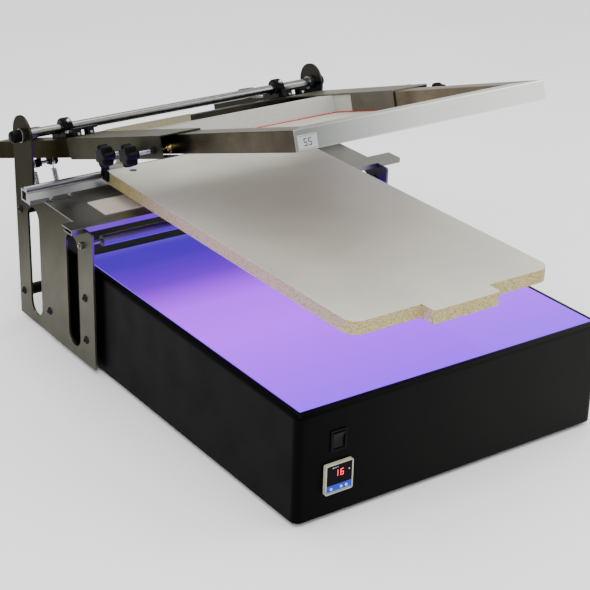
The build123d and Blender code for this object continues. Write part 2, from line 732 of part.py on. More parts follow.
def stand():
    """Side plates, their fasteners and the bars between them."""
    plate = side_plate()
    add("side_plate_left", on_side(plate, -1))
    add("side_plate_right", plate)
    spacers = []
    bolts = []
    for side in (-1, 1):
        for y, z in UNIT_BOLTS:
            ring = rod_x(side * HALF_W, side * PLATE_IN, y, z, SPACER_R)
            spacers.append(ring - rod_x(0, side * SPAN, y, z, BOLT_R + RUN))
            bolts.append(unit_bolt(side, y, z))
        for z in (LOWER_TIE_Z, UPPER_TIE_Z):
            bolts.append(button_bolt(side, TIE_Y, z))
    add("plate_spacers", group(spacers))
    add("plate_bolts", group(bolts))
    bars = []
    for z in (LOWER_TIE_Z, UPPER_TIE_Z):
        bar = rod_x(-PLATE_IN, PLATE_IN, TIE_Y, z, TIE_R)
        for side in (-1, 1):
            bar -= rod_x(side * (PLATE_IN - TIE_HOLE), side * (PLATE_IN + OVER), TIE_Y, z, BOLT_R + RUN)
        bars.append(bar)
    add("tie_bars", group(bars))
    tube = rod_x(-FRONT_TUBE_HALF, FRONT_TUBE_HALF, FRONT_TUBE_Y, FRONT_TUBE_Z, FRONT_TUBE_R)
    add("front_tie_tube", tube - rod_x(-SPAN, SPAN, FRONT_TUBE_Y, FRONT_TUBE_Z, STUD_R + RUN))
    stud = rod_x(-PLATE_OUT - STUD_END, PLATE_OUT + STUD_END, FRONT_TUBE_Y, FRONT_TUBE_Z, STUD_R)
    for side in (-1, 1):
        for x0, x1 in ((PLATE_OUT, PLATE_OUT + STUD_NUT_T), (PLATE_IN - STUD_NUT_T, PLATE_IN)):
            stud += hex_x(side * x0, side * x1, FRONT_TUBE_Y, FRONT_TUBE_Z, STUD_NUT)
    add("front_tie_stud", stud)


def pivot_shaft():
    """Fixed shaft between the posts, with its collars, washers and end caps."""
    add("pivot_shaft", rod_x(-SHAFT_END, SHAFT_END, SHAFT_Y, SHAFT_Z, SHAFT_R))
    collars = []
    caps = []
    for side in (-1, 1):
        start = PLATE_OUT + WASHER_T
        bore = rod_x(0, side * SPAN, SHAFT_Y, SHAFT_Z, SHAFT_R + RUN)
        washer = rod_x(side * PLATE_OUT, side * start, SHAFT_Y, SHAFT_Z, COLLAR_R)
        collar = rod_x(side * (PLATE_IN - COLLAR_W), side * PLATE_IN, SHAFT_Y, SHAFT_Z, COLLAR_R)
        collars.append(washer - bore)
        collars.append(collar - bore)
        cap = rod_x(side * start, side * (start + CAP_LENGTH), SHAFT_Y, SHAFT_Z, CAP_R)
        cap = fillet(outer_rim(cap, side), CAP_EDGE)
        caps.append(cap - rod_x(0, side * (SHAFT_END + RUN), SHAFT_Y, SHAFT_Z, SHAFT_R + RUN))
    add("shaft_collars", group(collars))
    add("shaft_caps", group(caps))


# --------------------------------------------------------------- platen side
def shelf():
    """Bent shelf on the side plates, with a front lip and a folded tab at each end."""
    low = SHELF_TOP - SHELF_LIP
    tray = block(-PLATE_OUT, PLATE_OUT, SHELF_FRONT, SHELF_REAR, SHELF_Z, SHELF_TOP)
    tray += block(-TAB_LEFT, TAB_RIGHT, SHELF_FRONT, TAB_REAR, SHELF_Z, SHELF_TOP)
    tray += block(-TAB_LEFT, TAB_RIGHT, SHELF_FRONT, SHELF_FRONT + SHEET, low, SHELF_Z)
    for x0, x1 in ((-TAB_LEFT, -TAB_FOLD_IN), (TAB_FOLD_IN, TAB_RIGHT)):
        tray += block(x0, x1, SHELF_FRONT, SHELF_FRONT + TAB_FOLD, low, low + SHEET)
    for x, y in (FOOT_SCREW, PLATEN_SCREW):
        for side in (-1, 1):
            tray -= rod_z(SHELF_Z - OVER, SHELF_TOP + OVER, side * x, y, SCREW_HOLE_R)
    return tray


def rail():
    """Extruded rail: front face, sloping apron, groove and round bead, with a hollow core."""

    def at(point):
        return (RAIL_FRONT + point[0], SHELF_TOP + point[1])

    with BuildPart() as profile:
        with BuildSketch(Plane.YZ.offset(-RAIL_HALF)):
            with BuildLine():
                Polyline(at((RAIL_DEPTH, 0)), at((0, 0)), at((0, RAIL_FACE)), at(RAIL_APRON))
                ThreePointArc(at(RAIL_APRON), at(RAIL_GROOVE[0]), at(RAIL_GROOVE[1]))
                ThreePointArc(at(RAIL_GROOVE[1]), at(RAIL_BEAD[0]), at(RAIL_BEAD[1]))
                Polyline(at(RAIL_BEAD[1]), at((RAIL_DEPTH, RAIL_BEAD[1][1])), at((RAIL_DEPTH, 0)))
            make_face()
        extrude(amount=2 * RAIL_HALF)
    body = profile.part
    y0, y1, z0, z1 = RAIL_CORE
    body -= block(-RAIL_HALF - OVER, RAIL_HALF + OVER, RAIL_FRONT + y0, RAIL_FRONT + y1,
                  SHELF_TOP + z0, SHELF_TOP + z1)
    for side in (-1, 1):
        for x in RAIL_SCREW_X:
            body -= rod_y(RAIL_FRONT - OVER, RAIL_FRONT + RAIL_SCREW, side * x, RAIL_SCREW_Z,
                          RAIL_SCREW_R + RUN)
        body -= rod_z(SHELF_TOP - OVER, FOOT_SCREW_TOP, side * FOOT_SCREW[0], FOOT_SCREW[1], SCREW_HOLE_R)
    return body


def platen_outline():
    """Shirt-shaped platen seen from above, its corners rounded."""
    with BuildSketch() as outline:
        with Locations((0, (PLATEN_REAR + PLATEN_FRONT) / 2)):
            Rectangle(2 * PLATEN_HALF, PLATEN_REAR - PLATEN_FRONT)
        with Locations((0, (PLATEN_FRONT + NOSE_ROOT + NOSE_FRONT) / 2)):
            Rectangle(2 * NOSE_HALF, PLATEN_FRONT + NOSE_ROOT - NOSE_FRONT)
        front = [v for v in outline.vertices() if v.Y < PLATEN_FRONT + OVER]
        shoulders = [v for v in front if abs(v.X) > NOSE_HALF + OVER]
        fillet(shoulders, PLATEN_R)
        tips = [v for v in outline.vertices() if v.Y < NOSE_FRONT + OVER]
        fillet(tips, NOSE_R)
    return outline.sketch


def platen_supports():
    """Thin sheet on the shelf and the blocks between it and the platen."""
    pieces = [block(*SHEET_BLOCK, SHELF_TOP, SHELF_TOP + SHEET)]
    for side in (-1, 1):
        x0, x1, y0, y1 = FRONT_BLOCK
        pieces.append(block(side * x0, side * x1, y0, y1, SHELF_TOP + SHEET, PLATEN_LOW))
        x0, x1, y0, y1 = REAR_BLOCK
        pad = block(side * x0, side * x1, y0, y1, SHELF_TOP, PLATEN_LOW)
        x, y = PLATEN_SCREW
        pieces.append(pad - rod_z(SHELF_TOP - OVER, PLATEN_LOW + OVER, side * x, y, SCREW_HOLE_R))
    return group(pieces)


def platen_bracket(side):
    """Bright upright plate behind the platen, with its hanging hole and screw hole."""
    plate = block(side * BRACKET_X[0], side * BRACKET_X[1], PLATEN_REAR, PLATEN_REAR + BRACKET_T,
                  BRACKET_LOW, BRACKET_TOP)
    plate = fillet(plate.edges().filter_by(Axis.Y).group_by(Axis.Z)[-1], BRACKET_R)
    x, z, radius = BRACKET_HOLE
    plate -= rod_y(PLATEN_REAR - OVER, PLATEN_REAR + BRACKET_T + OVER, side * x, z, radius)
    x, z = BRACKET_SCREW
    return plate - rod_y(PLATEN_REAR - OVER, PLATEN_REAR + BRACKET_T + OVER, side * x, z,
                         BRACKET_SCREW_R + RUN)


def bracket_screw(side):
    """Screw that holds a bright plate to the platen's rear edge."""
    x, z = BRACKET_SCREW
    seat = PLATEN_REAR + BRACKET_T
    shank = rod_y(PLATEN_REAR - BRACKET_SCREW_IN, seat, side * x, z, BRACKET_SCREW_R)
    return shank + rod_y(seat, seat + BRACKET_HEAD_T, side * x, z, BRACKET_HEAD_R)


def platen_hook(side):
    """Black hook round a rear corner of the platen."""
    back = PLATEN_REAR + HOOK_T
    plate = block(side * HOOK_X[0], side * HOOK_X[1], PLATEN_REAR, back, *HOOK_Z)
    return plate + block(side * PLATEN_HALF, side * (PLATEN_HALF + HOOK_LEG_T),
                         PLATEN_REAR - HOOK_LEG_REACH, back, *HOOK_LEG_Z)


def platen_screws():
    """Screws of the platen and of the rail."""
    x, y = PLATEN_SCREW
    seat = PLATEN_TOP - SINK
    screws = []
    for side in (-1, 1):
        long_screw = rod_z(SHELF_Z - PLATEN_NUT_T - PLATEN_TAIL, seat, side * x, y, SCREW_SHANK_R)
        long_screw += rod_z(seat, seat + PLATEN_HEAD_T, side * x, y, PLATEN_HEAD_R)
        screws.append(long_screw + hex_z(SHELF_Z - PLATEN_NUT_T, SHELF_Z, side * x, y, PLATEN_NUT))
        for screw_x in RAIL_SCREW_X:
            shank = rod_y(RAIL_FRONT, RAIL_FRONT + RAIL_SCREW, side * screw_x, RAIL_SCREW_Z, RAIL_SCREW_R)
            head = rod_y(RAIL_FRONT - RAIL_HEAD_T, RAIL_FRONT, side * screw_x, RAIL_SCREW_Z, RAIL_HEAD_R)
            screws.append(shank + head)
        foot_x, foot_y = FOOT_SCREW
        shank = rod_z(SHELF_Z, FOOT_SCREW_TOP, side * foot_x, foot_y, SCREW_SHANK_R)
        screws.append(shank + rod_z(SHELF_Z - FOOT_HEAD_T, SHELF_Z, side * foot_x, foot_y, FOOT_HEAD_R))
    return group(screws)


def platen():
    """Shelf, rail, supports, platen and what fixes them."""
    add("platen_shelf", shelf())
    add("rail", rail())
    add("platen_spacers", platen_supports())
    board = extrude(Plane.XY.offset(PLATEN_LOW) * platen_outline(), PLATEN_T - LAMINATE)
    sheet = extrude(Plane.XY.offset(PLATEN_TOP - LAMINATE) * platen_outline(), LAMINATE)
    x, y = PLATEN_SCREW
    for side in (-1, 1):
        sink = rod_z(PLATEN_TOP - SINK, PLATEN_TOP + OVER, side * x, y, SINK_R)
        board -= rod_z(PLATEN_LOW - OVER, PLATEN_TOP + OVER, side * x, y, SCREW_HOLE_R)
        board -= sink
        board -= rod_y(PLATEN_REAR - BRACKET_HOLE_IN, PLATEN_REAR + OVER, side * BRACKET_SCREW[0],
                       BRACKET_SCREW[1], BRACKET_SCREW_R + RUN)
        sheet -= sink
    add("platen_board", board)
    add("platen_laminate", sheet)
    add("platen_screws", platen_screws())
    brackets = [platen_bracket(side) for side in (-1, 1)]
    add("platen_brackets", group(brackets + [bracket_screw(side) for side in (-1, 1)]))
    add("platen_stops", group([platen_hook(side) for side in (-1, 1)]))


# ------------------------------------------------------ swinging assembly
def screen_frame():
    """Welded frame of rectangular tube, hollow inside, with a closed cavity."""
    wall = SCREEN_WALL
    front = SCREEN_S + SCREEN_BAR
    rear = SCREEN_REAR - SCREEN_BAR
    high = SCREEN_N + SCREEN_H
    outer = swing_box(-SCREEN_HALF, SCREEN_HALF, SCREEN_S, SCREEN_REAR, SCREEN_N, high)
    outer = fillet(outer.edges().filter_by(Axis.Z), SCREEN_R)
    outer -= swing_box(-OPENING_HALF, OPENING_HALF, front, rear, SCREEN_N - OVER, high + OVER)
    core = swing_box(-SCREEN_HALF + wall, SCREEN_HALF - wall, SCREEN_S + wall, SCREEN_REAR - wall,
                     SCREEN_N + wall, high - wall)
    core -= swing_box(-OPENING_HALF - wall, OPENING_HALF + wall, front - wall, rear + wall, SCREEN_N, high)
    return outer - core


def glue_bead():
    """Coloured bead where the mesh meets the inside of the frame."""
    front = SCREEN_S + SCREEN_BAR
    rear = SCREEN_REAR - SCREEN_BAR
    ring = swing_box(-OPENING_HALF, OPENING_HALF, front, rear, SCREEN_N, SCREEN_N + BEAD_H)
    return ring - swing_box(-OPENING_HALF + BEAD_W, OPENING_HALF - BEAD_W, front + BEAD_W, rear - BEAD_W,
                            SCREEN_N - OVER, SCREEN_N + BEAD_H + OVER)


def frame_tape():
    """White tape over the inside of the rear bar, with corner pieces on the side bars."""
    rear = SCREEN_REAR - SCREEN_BAR
    inner = OPENING_HALF - TAPE_T
    low = SCREEN_N + TAPE_LOW
    high = SCREEN_N + SCREEN_H
    strips = [swing_box(-inner, inner, rear - TAPE_T, rear, low, high)]
    for side in (-1, 1):
        strips.append(swing_box(side * inner, side * OPENING_HALF, rear - TAPE_REACH,
                                rear - TAPE_T - TAPE_GAP, low, high))
    return group(strips)


def clamp_channel():
    """Clamp channel: web outside, wide top flange, short bottom flange, inner lip, weld nuts."""
    t = CHANNEL_T
    top = SCREEN_N + SCREEN_H + CHANNEL_GAP
    low = SCREEN_N - CHANNEL_GAP
    lip = OPENING_HALF - LIP_GAP
    part = swing_box(CHANNEL_OUT - t, CHANNEL_OUT, CHANNEL_FRONT, CHANNEL_REAR, low - t, top + t)
    part += swing_box(lip - t, CHANNEL_OUT, CHANNEL_FRONT, CHANNEL_REAR, top, top + t)
    part += swing_box(SCREEN_HALF + FLANGE_GAP, CHANNEL_OUT, CHANNEL_FRONT, CHANNEL_REAR, low - t, low)
    part += swing_box(lip - t, lip, CHANNEL_FRONT, LIP_REAR, LIP_LOW, top)
    y = SHAFT_Y + CHANNEL_REAR + OVER
    z = SHAFT_Z + low - t - OVER
    corner = Polyline((y, z), (y - CHANNEL_TAPER, z), (y, z + CHANNEL_TAPER), close=True)
    part -= extrude(Plane.YZ * make_face(corner), SPAN)
    for s in SCREW_S:
        y = SHAFT_Y + s
        z = SHAFT_Z + SCREW_N
        part -= rod_x(SCREEN_HALF, SPAN, y, z, SCREW_R + RUN)
        nut = hex_x(CHANNEL_OUT, CHANNEL_OUT + NUT_T, y, z, NUT_SIZE)
        part += nut - rod_x(SCREEN_HALF, SPAN, y, z, SCREW_R)
    return part


def spring_lug():
    """Folded lug under the arm that carries the spring pin."""
    front = SPRING_PIN_S - LUG_HALF
    rear = SPRING_PIN_S + LUG_HALF
    part = swing_box(*LUG_X, front, rear, SCREEN_N - LUG_T, SCREEN_N)
    for x in (LUG_X[0], LUG_X[1] - LUG_T):
        part += swing_box(x, x + LUG_T, front, rear, SPRING_PIN_N - LUG_BELOW, SCREEN_N)
    return part - rod_x(0, SPAN, SHAFT_Y + SPRING_PIN_S, SHAFT_Z + SPRING_PIN_N, SPRING_PIN_R + RUN)


def arm():
    """Right-hand arm with its spring lug: a tube from inside the channel to behind the shaft."""
    top = SHAFT_Z + ARM_TOP
    part = tube_y(ARM_IN, ARM_OUT, SHAFT_Y + ARM_FRONT, SHAFT_Y + ARM_REAR, SHAFT_Z + SCREEN_N, top, ARM_WALL)
    for s in BLOCK_BOLT_S:
        part -= rod_z(top - ARM_WALL - OVER, top + OVER, BLOCK_BOLT_X, SHAFT_Y + s, BLOCK_BOLT_R + RUN)
    part -= rod_z(top - ARM_WALL - OVER, top + OVER, TAIL_KNOB_X, SHAFT_Y + TAIL_KNOB_S, TAIL_STUD_R + RUN)
    return part + spring_lug()


def plug_turn(shape):
    """Tilt an upright piece above the shaft toward the front."""
    return shape.rotate(Axis((0, SHAFT_Y, SHAFT_Z), (1, 0, 0)), PLUG_TILT)


def pivot_block():
    """Right-hand pillow block: round housing on a foot, bored for its bush."""
    top = SHAFT_Z + ARM_TOP
    half = BLOCK_W / 2
    foot = block(BLOCK_X - BLOCK_FOOT_W / 2, BLOCK_X + BLOCK_FOOT_W / 2, SHAFT_Y - BLOCK_FOOT_HALF,
                 SHAFT_Y + BLOCK_FOOT_HALF, top, top + BLOCK_FOOT_T)
    foot = fillet(foot.edges().filter_by(Axis.Z), BLOCK_FOOT_R)
    housing = rod_x(BLOCK_X - half, BLOCK_X + half, SHAFT_Y, SHAFT_Z, BLOCK_R)
    housing = fillet(housing.edges().filter_by(GeomType.CIRCLE), BLOCK_EDGE)
    part = foot + housing
    part -= block(0, SPAN, SHAFT_Y - BLOCK_FOOT_HALF, SHAFT_Y + BLOCK_FOOT_HALF, top - BLOCK_R, top)
    part -= rod_x(0, SPAN, SHAFT_Y, SHAFT_Z, BUSH_R)
    part -= plug_turn(rod_z(SHAFT_Z, SHAFT_Z + BLOCK_FOOT_HALF, BLOCK_X, SHAFT_Y, PLUG_HOLE_R))
    for s in BLOCK_BOLT_S:
        part -= rod_z(top - OVER, top + BLOCK_R, BLOCK_BOLT_X, SHAFT_Y + s, BLOCK_BOLT_R + RUN)
    return part


def pivot_housing():
    """Pillow block with the plain bush that turns on the shaft."""
    half = BLOCK_W / 2
    bush = rod_x(BLOCK_X - half, BLOCK_X + half, SHAFT_Y, SHAFT_Z, BUSH_R)
    bush -= rod_x(0, SPAN, SHAFT_Y, SHAFT_Z, SHAFT_R + RUN)
    return group([pivot_block(), bush])


def arm_screws():
    """Foot screws of a pillow block and the plug in its housing."""
    top = SHAFT_Z + ARM_TOP + BLOCK_FOOT_T
    pieces = []
    for s in BLOCK_BOLT_S:
        y = SHAFT_Y + s
        shank = rod_z(top - BLOCK_BOLT, top, BLOCK_BOLT_X, y, BLOCK_BOLT_R)
        head = rod_z(top, top + BLOCK_HEAD_T, BLOCK_BOLT_X, y, BLOCK_HEAD_R)
        socket = hex_z(top + BLOCK_SOCKET_FLOOR, top + BLOCK_HEAD_T + OVER, BLOCK_BOLT_X, y, BLOCK_SOCKET)
        pieces.append(shank + head - socket)
    tip = SHAFT_Z + BLOCK_R + PLUG_PROUD
    plug = rod_z(SHAFT_Z + PLUG_START, tip, BLOCK_X, SHAFT_Y, PLUG_R)
    plug += Pos(BLOCK_X, SHAFT_Y, tip) * Sphere(PLUG_HEAD_R)
    pieces.append(plug_turn(plug))
    return group(pieces)


def guard(x0, width):
    """Guard clip in front of the shaft: a bridge on two legs, each with a rivet head in front."""
    low = SHAFT_Z + ARM_TOP
    high = low + GUARD_H
    x1 = x0 + width
    y0 = SHAFT_Y + CROSS_FRONT
    y1 = y0 + GUARD_DEPTH
    clip = block(x0, x1 + GUARD_REACH, y0, y1, high - GUARD_T, high)
    for start, end in ((x0, x0 + GUARD_LEG), (x1 - GUARD_LEG, x1)):
        clip += block(start, end, y0, y1, low, high)
        clip += rod_y(y0 - GUARD_HEAD_T, y0, (start + end) / 2, low + GUARD_HEAD_UP, GUARD_HEAD_R)
    return clip


def clamp_knob(s):
    """Seven-lobed knob on the right with its stud, which ends in the pad's cup."""
    y = SHAFT_Y + s
    z = SHAFT_Z + SCREW_N
    with BuildPart() as grip:
        with BuildSketch(Plane.YZ.offset(KNOB_IN + KNOB_NECK)):
            with Locations((y, z)):
                Circle(KNOB_R - LOBE_R + OVER)
                with PolarLocations(KNOB_R - LOBE_R, LOBES, start_angle=LOBE_TURN):
                    Circle(LOBE_R)
            fillet(vertices(), LOBE_ROOT_R)
        extrude(amount=KNOB_T - KNOB_NECK)
        chamfer(faces().sort_by(Axis.X)[-1].edges(), KNOB_EDGE)
    bore_end = KNOB_IN + KNOB_BORE
    knob = grip.part + rod_x(KNOB_IN, KNOB_IN + HUB_T, y, z, HUB_R)
    knob -= rod_x(KNOB_IN - OVER, bore_end, y, z, SCREW_R)
    stud = rod_x(TIP_END, bore_end, y, z, SCREW_R - RUN) + rod_x(TIP_START, TIP_END, y, z, TIP_R)
    return group([knob, stud])


def clamp_pad(s):
    """Brass swivel pad that presses on the screen's outer side."""
    y = SHAFT_Y + s
    z = SHAFT_Z + SCREW_N
    face = SCREEN_HALF + CLEAR
    back = face + PAD_T
    pad = rod_x(face, back, y, z, PAD_R) + rod_x(back, back + CUP_T, y, z, CUP_R)
    return pad - rod_x(face + CUP_FLOOR, back + CUP_T + OVER, y, z, TIP_R + RUN)


def spring_pins():
    """Cross pin with its heads, and the black collars that keep the hooks in place."""
    y = SHAFT_Y + SPRING_PIN_S
    z = SHAFT_Z + SPRING_PIN_N
    x0, x1 = SPRING_PIN_X
    pin = rod_x(x0, x1, y, z, SPRING_PIN_R)
    pin += rod_x(x0 - PIN_HEAD_T, x0, y, z, PIN_HEAD_R)
    pin += rod_x(x1, x1 + PIN_HEAD_T, y, z, PIN_HEAD_R)
    pieces = [pin]
    for start, end in PIN_COLLARS:
        pieces.append(rod_x(start, end, y, z, PIN_COLLAR_R) - rod_x(0, SPAN, y, z, SPRING_PIN_R + RUN))
    return group(pieces)


def tail_knob():
    """Round clamping knob on the arm behind the shaft, its axis upright."""
    top = SHAFT_Z + ARM_TOP
    y = SHAFT_Y + TAIL_KNOB_S
    low = top + TAIL_NECK_T
    knob = rod_z(low, low + TAIL_KNOB_T, TAIL_KNOB_X, y, TAIL_KNOB_R)
    knob = fillet(knob.edges().filter_by(GeomType.CIRCLE).sort_by(Axis.Z)[-1], TAIL_KNOB_EDGE)
    knob += rod_z(top + CLEAR, low, TAIL_KNOB_X, y, TAIL_NECK_R)
    return knob + rod_z(top - TAIL_STUD, low, TAIL_KNOB_X, y, TAIL_STUD_R)


def arm_cap():
    """Plastic plug that closes the tail of the arm."""
    wall = ARM_WALL
    cap = swing_box(ARM_IN, ARM_OUT, ARM_REAR, ARM_REAR + ARM_CAP, SCREEN_N, ARM_TOP)
    cap = fillet(cap.faces().sort_by(Axis.Y)[-1].edges(), ARM_CAP_R)
    return cap + swing_box(ARM_IN + wall, ARM_OUT - wall, ARM_REAR - ARM_PLUG, ARM_REAR,
                           SCREEN_N + wall, ARM_TOP - wall)


def crossbar():
    """Rectangular tube between the arms, just in front of the shaft."""
    wall = ARM_WALL
    bar = swing_box(-ARM_IN, ARM_IN, CROSS_FRONT, CROSS_REAR, SCREEN_N, ARM_TOP)
    return bar - swing_box(-ARM_IN - OVER, ARM_IN + OVER, CROSS_FRONT + wall, CROSS_REAR - wall,
                           SCREEN_N + wall, ARM_TOP - wall)


def swinging_assembly():
    """Screen, channels, arms and all they carry, turned up to the rest pose."""
    add("screen_frame", raised(screen_frame()))
    mesh = swing_box(-SCREEN_HALF + MESH_EDGE, SCREEN_HALF - MESH_EDGE, SCREEN_S + MESH_EDGE,
                     SCREEN_REAR - MESH_EDGE, SCREEN_N - MESH_T, SCREEN_N)
    add("screen_mesh", raised(mesh))
    add("mesh_glue_bead", raised(glue_bead()))
    add("frame_tape", raised(frame_tape()))
    add("mesh_count_label", raised(swing_box(*LABEL_X, SCREEN_S - LABEL_T, SCREEN_S, *LABEL_N)))
    add("arm_crossbar", raised(crossbar()))
    facing = swing_box(*FACING_X, CROSS_FRONT - FACING_T, CROSS_FRONT, SCREEN_N + FACING_LOW,
                       ARM_TOP + FACING_ABOVE)
    add("crossbar_facing", raised(facing))
    for side, word in ((-1, "left"), (1, "right")):
        for index, s in enumerate(SCREW_S):
            number = index + 1
            add(f"clamp_knob_{word}_{number}", raised(on_side(clamp_knob(s), side)))
            add(f"clamp_pad_{word}_{number}", raised(on_side(clamp_pad(s), side)))
        add("tail_knob_" + word, raised(on_side(tail_knob(), side)))
    shared = {
        "clamp_channels": clamp_channel,
        "swing_arms": arm,
        "pivot_blocks": pivot_housing,
        "arm_screws": arm_screws,
        "spring_pins": spring_pins,
        "arm_caps": arm_cap,
    }
    for name, maker in shared.items():
        add(name, group([raised(on_side(maker(), side)) for side in (-1, 1)]))
    add("shaft_guards", group([raised(guard(x, width)) for x, width in GUARDS]))


# ------------------------------------------------------------------ springs
def turned(s, n):
    """Y and Z of a point of the swinging assembly at rest."""
    angle = math.radians(REST_TILT)
    y = SHAFT_Y + s * math.cos(angle) + n * math.sin(angle)
    z = SHAFT_Z - s * math.sin(angle) + n * math.cos(angle)
    return y, z


def biarc(start, start_dir, end, end_dir):
    """Two arcs that join two points and keep both end directions."""
    v = end - start
    t = start_dir + end_dir
    a = 2 * (1 - start_dir.dot(end_dir))
    b = v.dot(t)
    c = v.dot(v)
    if abs(a) < 1e-9:
        d = c / (2 * b)
    else:
        d = (-b + math.sqrt(b * b + a * c)) / a
    q = (start + start_dir * d + end - end_dir * d) * 0.5
    first = Edge.make_tangent_arc(start, start_dir, q)
    return [first, Edge.make_tangent_arc(q, first % 1, end)]


def spring_frame():
    """Bottom and top points and the directions of a spring's own axes."""
    low = Vector(0, TIE_Y, UPPER_TIE_Z)
    high = Vector(0, *turned(SPRING_PIN_S, SPRING_PIN_N))
    along = (high - low).normalized()
    across = Vector(1, 0, 0)
    return low, high, along, across, along.cross(across)


def spring_edges():
    """Route of the wire: hook over the tie bar, coils, hook over the pin."""
    low, high, along, across, side = spring_frame()
    coil = SPRING_TURNS * SPRING_PITCH
    bar_r = TIE_R + SPRING_WIRE / 2 + CLEAR
    pin_r = SPRING_PIN_R + SPRING_WIRE / 2 + CLEAR
    start = low + along * ((high - low).length - coil - pin_r - SPRING_NECK)

    def coil_point(turns):
        angle = 2 * math.pi * turns
        swing = side * math.cos(angle) + across * math.sin(angle)
        return start + along * (SPRING_PITCH * turns) + swing * SPRING_TURN_R

    def coil_dir(turns):
        angle = 2 * math.pi * turns
        round_dir = across * math.cos(angle) - side * math.sin(angle)
        run = round_dir * (2 * math.pi * SPRING_TURN_R) + along * SPRING_PITCH
        return run.normalized()

    def hook(centre, radius, opening, sign):
        """Three points of an arc over a bar; sign is +1 at the pin and -1 at the tie bar."""
        points = []
        for degrees in opening:
            angle = math.radians(degrees)
            up = along * (sign * radius * math.sin(angle))
            points.append(centre + side * (radius * math.cos(angle)) + up)
        return points

    rise = math.radians(SPRING_RISE)
    bar = hook(low, bar_r, BAR_HOOK, -1)
    pin = hook(high, pin_r, PIN_HOOK, 1)
    leave = along * math.cos(rise) - side * math.sin(rise)
    edges = [Edge.make_three_point_arc(*bar)]
    edges += biarc(bar[2], leave, coil_point(0), coil_dir(0))
    for quarter in range(4 * SPRING_TURNS):
        a = quarter / 4
        b = (quarter + 1) / 4
        edges += biarc(coil_point(a), coil_dir(a), coil_point(b), coil_dir(b))
    edges += biarc(coil_point(SPRING_TURNS), coil_dir(SPRING_TURNS), pin[0], along)
    edges.append(Edge.make_three_point_arc(*pin))
    return edges


def least_gap(edges):
    """Smallest air between two stretches of the wire, measured on points."""
    steps = 6
    near = 2.6 * SPRING_TURN_R
    points = []
    run = 0.0
    for edge in edges:
        for step in range(steps):
            points.append((run + edge.length * step / steps, edge @ (step / steps)))
        run += edge.length
    gap = math.inf
    for i, (run_a, a) in enumerate(points):
        for run_b, b in points[i + 1:]:
            if run_b - run_a > near:
                gap = min(gap, (a - b).length)
    return gap - SPRING_WIRE


def springs():
    """Four lifting springs, two beside each arm."""
    edges = spring_edges()
    print("least gap of a spring to itself: %.2f mm" % least_gap(edges))
    path = Wire(edges)
    section = Plane(origin=path @ 0, z_dir=path % 0) * Circle(SPRING_WIRE / 2)
    coil = sweep(section, path=path)
    add("lift_springs", group([Pos(side * x, 0, 0) * coil for side in (-1, 1) for x in SPRING_X]))


exposure_unit()
timer()
rocker_switch()
power_inlet()
stand()
pivot_shaft()
platen()
swinging_assembly()
springs()
print(len(NODES), "nodes")
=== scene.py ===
"""Looks of a tabletop screen printing press, laid out as an add-on and run as a script."""
import json
import math

import bmesh
import bpy
from bpy.props import FloatProperty, FloatVectorProperty, IntProperty, PointerProperty
from bpy.types import Operator, Panel, PropertyGroup
from mathutils import Matrix, Vector

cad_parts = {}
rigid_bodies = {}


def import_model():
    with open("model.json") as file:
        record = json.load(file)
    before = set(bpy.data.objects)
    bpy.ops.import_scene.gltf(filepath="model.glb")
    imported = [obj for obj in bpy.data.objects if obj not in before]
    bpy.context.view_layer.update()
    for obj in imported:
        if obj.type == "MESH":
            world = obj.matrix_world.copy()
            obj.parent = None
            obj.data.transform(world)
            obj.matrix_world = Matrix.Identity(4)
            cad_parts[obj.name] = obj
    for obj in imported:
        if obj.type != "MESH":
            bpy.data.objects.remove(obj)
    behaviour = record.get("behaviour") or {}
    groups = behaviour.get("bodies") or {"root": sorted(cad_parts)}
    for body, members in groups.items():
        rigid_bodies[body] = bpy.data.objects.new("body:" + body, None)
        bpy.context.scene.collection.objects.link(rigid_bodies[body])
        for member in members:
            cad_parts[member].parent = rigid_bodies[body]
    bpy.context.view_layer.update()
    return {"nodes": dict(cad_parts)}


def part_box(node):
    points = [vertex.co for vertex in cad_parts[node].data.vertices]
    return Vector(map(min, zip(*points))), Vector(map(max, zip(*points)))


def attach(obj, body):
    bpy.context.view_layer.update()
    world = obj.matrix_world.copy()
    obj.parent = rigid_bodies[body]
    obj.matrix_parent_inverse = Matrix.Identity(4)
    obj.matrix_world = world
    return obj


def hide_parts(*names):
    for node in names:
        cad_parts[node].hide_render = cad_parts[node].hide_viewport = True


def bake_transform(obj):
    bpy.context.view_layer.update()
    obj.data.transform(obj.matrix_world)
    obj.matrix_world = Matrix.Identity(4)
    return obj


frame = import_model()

bl_info = {
    "name": "Screen Printing Press",
    "version": (1, 0, 0),
    "blender": (4, 5, 0),
    "location": "View3D > Sidebar > Press",
    "description": "Dresses the packed model of a tabletop screen printing press",
    "category": "Add Mesh",
}

NODES = frame["nodes"]
MM = 0.001

# Pivot shaft, middle of the exposure unit's footprint, and rest pose of the swinging side
SHAFT = sum(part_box("pivot_shaft"), Vector()) / 2
ORIGIN = SHAFT - Vector((0.0, 0.427, 0.345))
TILT = math.radians(17.6)
ALONG = Vector((0.0, math.cos(TILT), -math.sin(TILT)))
ABOVE = Vector((0.0, math.sin(TILT), math.cos(TILT)))


def fixed(x, y, z):
    """Point of the fixed side, given in millimetres from the exposure unit's middle."""
    return ORIGIN + Vector((x, y, z)) * MM


def swung(x, s, n):
    """Point of the swinging side, given level and in millimetres, in the rest pose."""
    return Vector((x * MM, 0, 0)) + SHAFT + ALONG * (s * MM) + ABOVE * (n * MM)


# Half of the casing's width and depth, and the height that parts the timer's window from its keys
HALF_WIDTH, HALF_DEPTH = 0.27, 0.37
KEY_STRIP_TOP = 0.0571

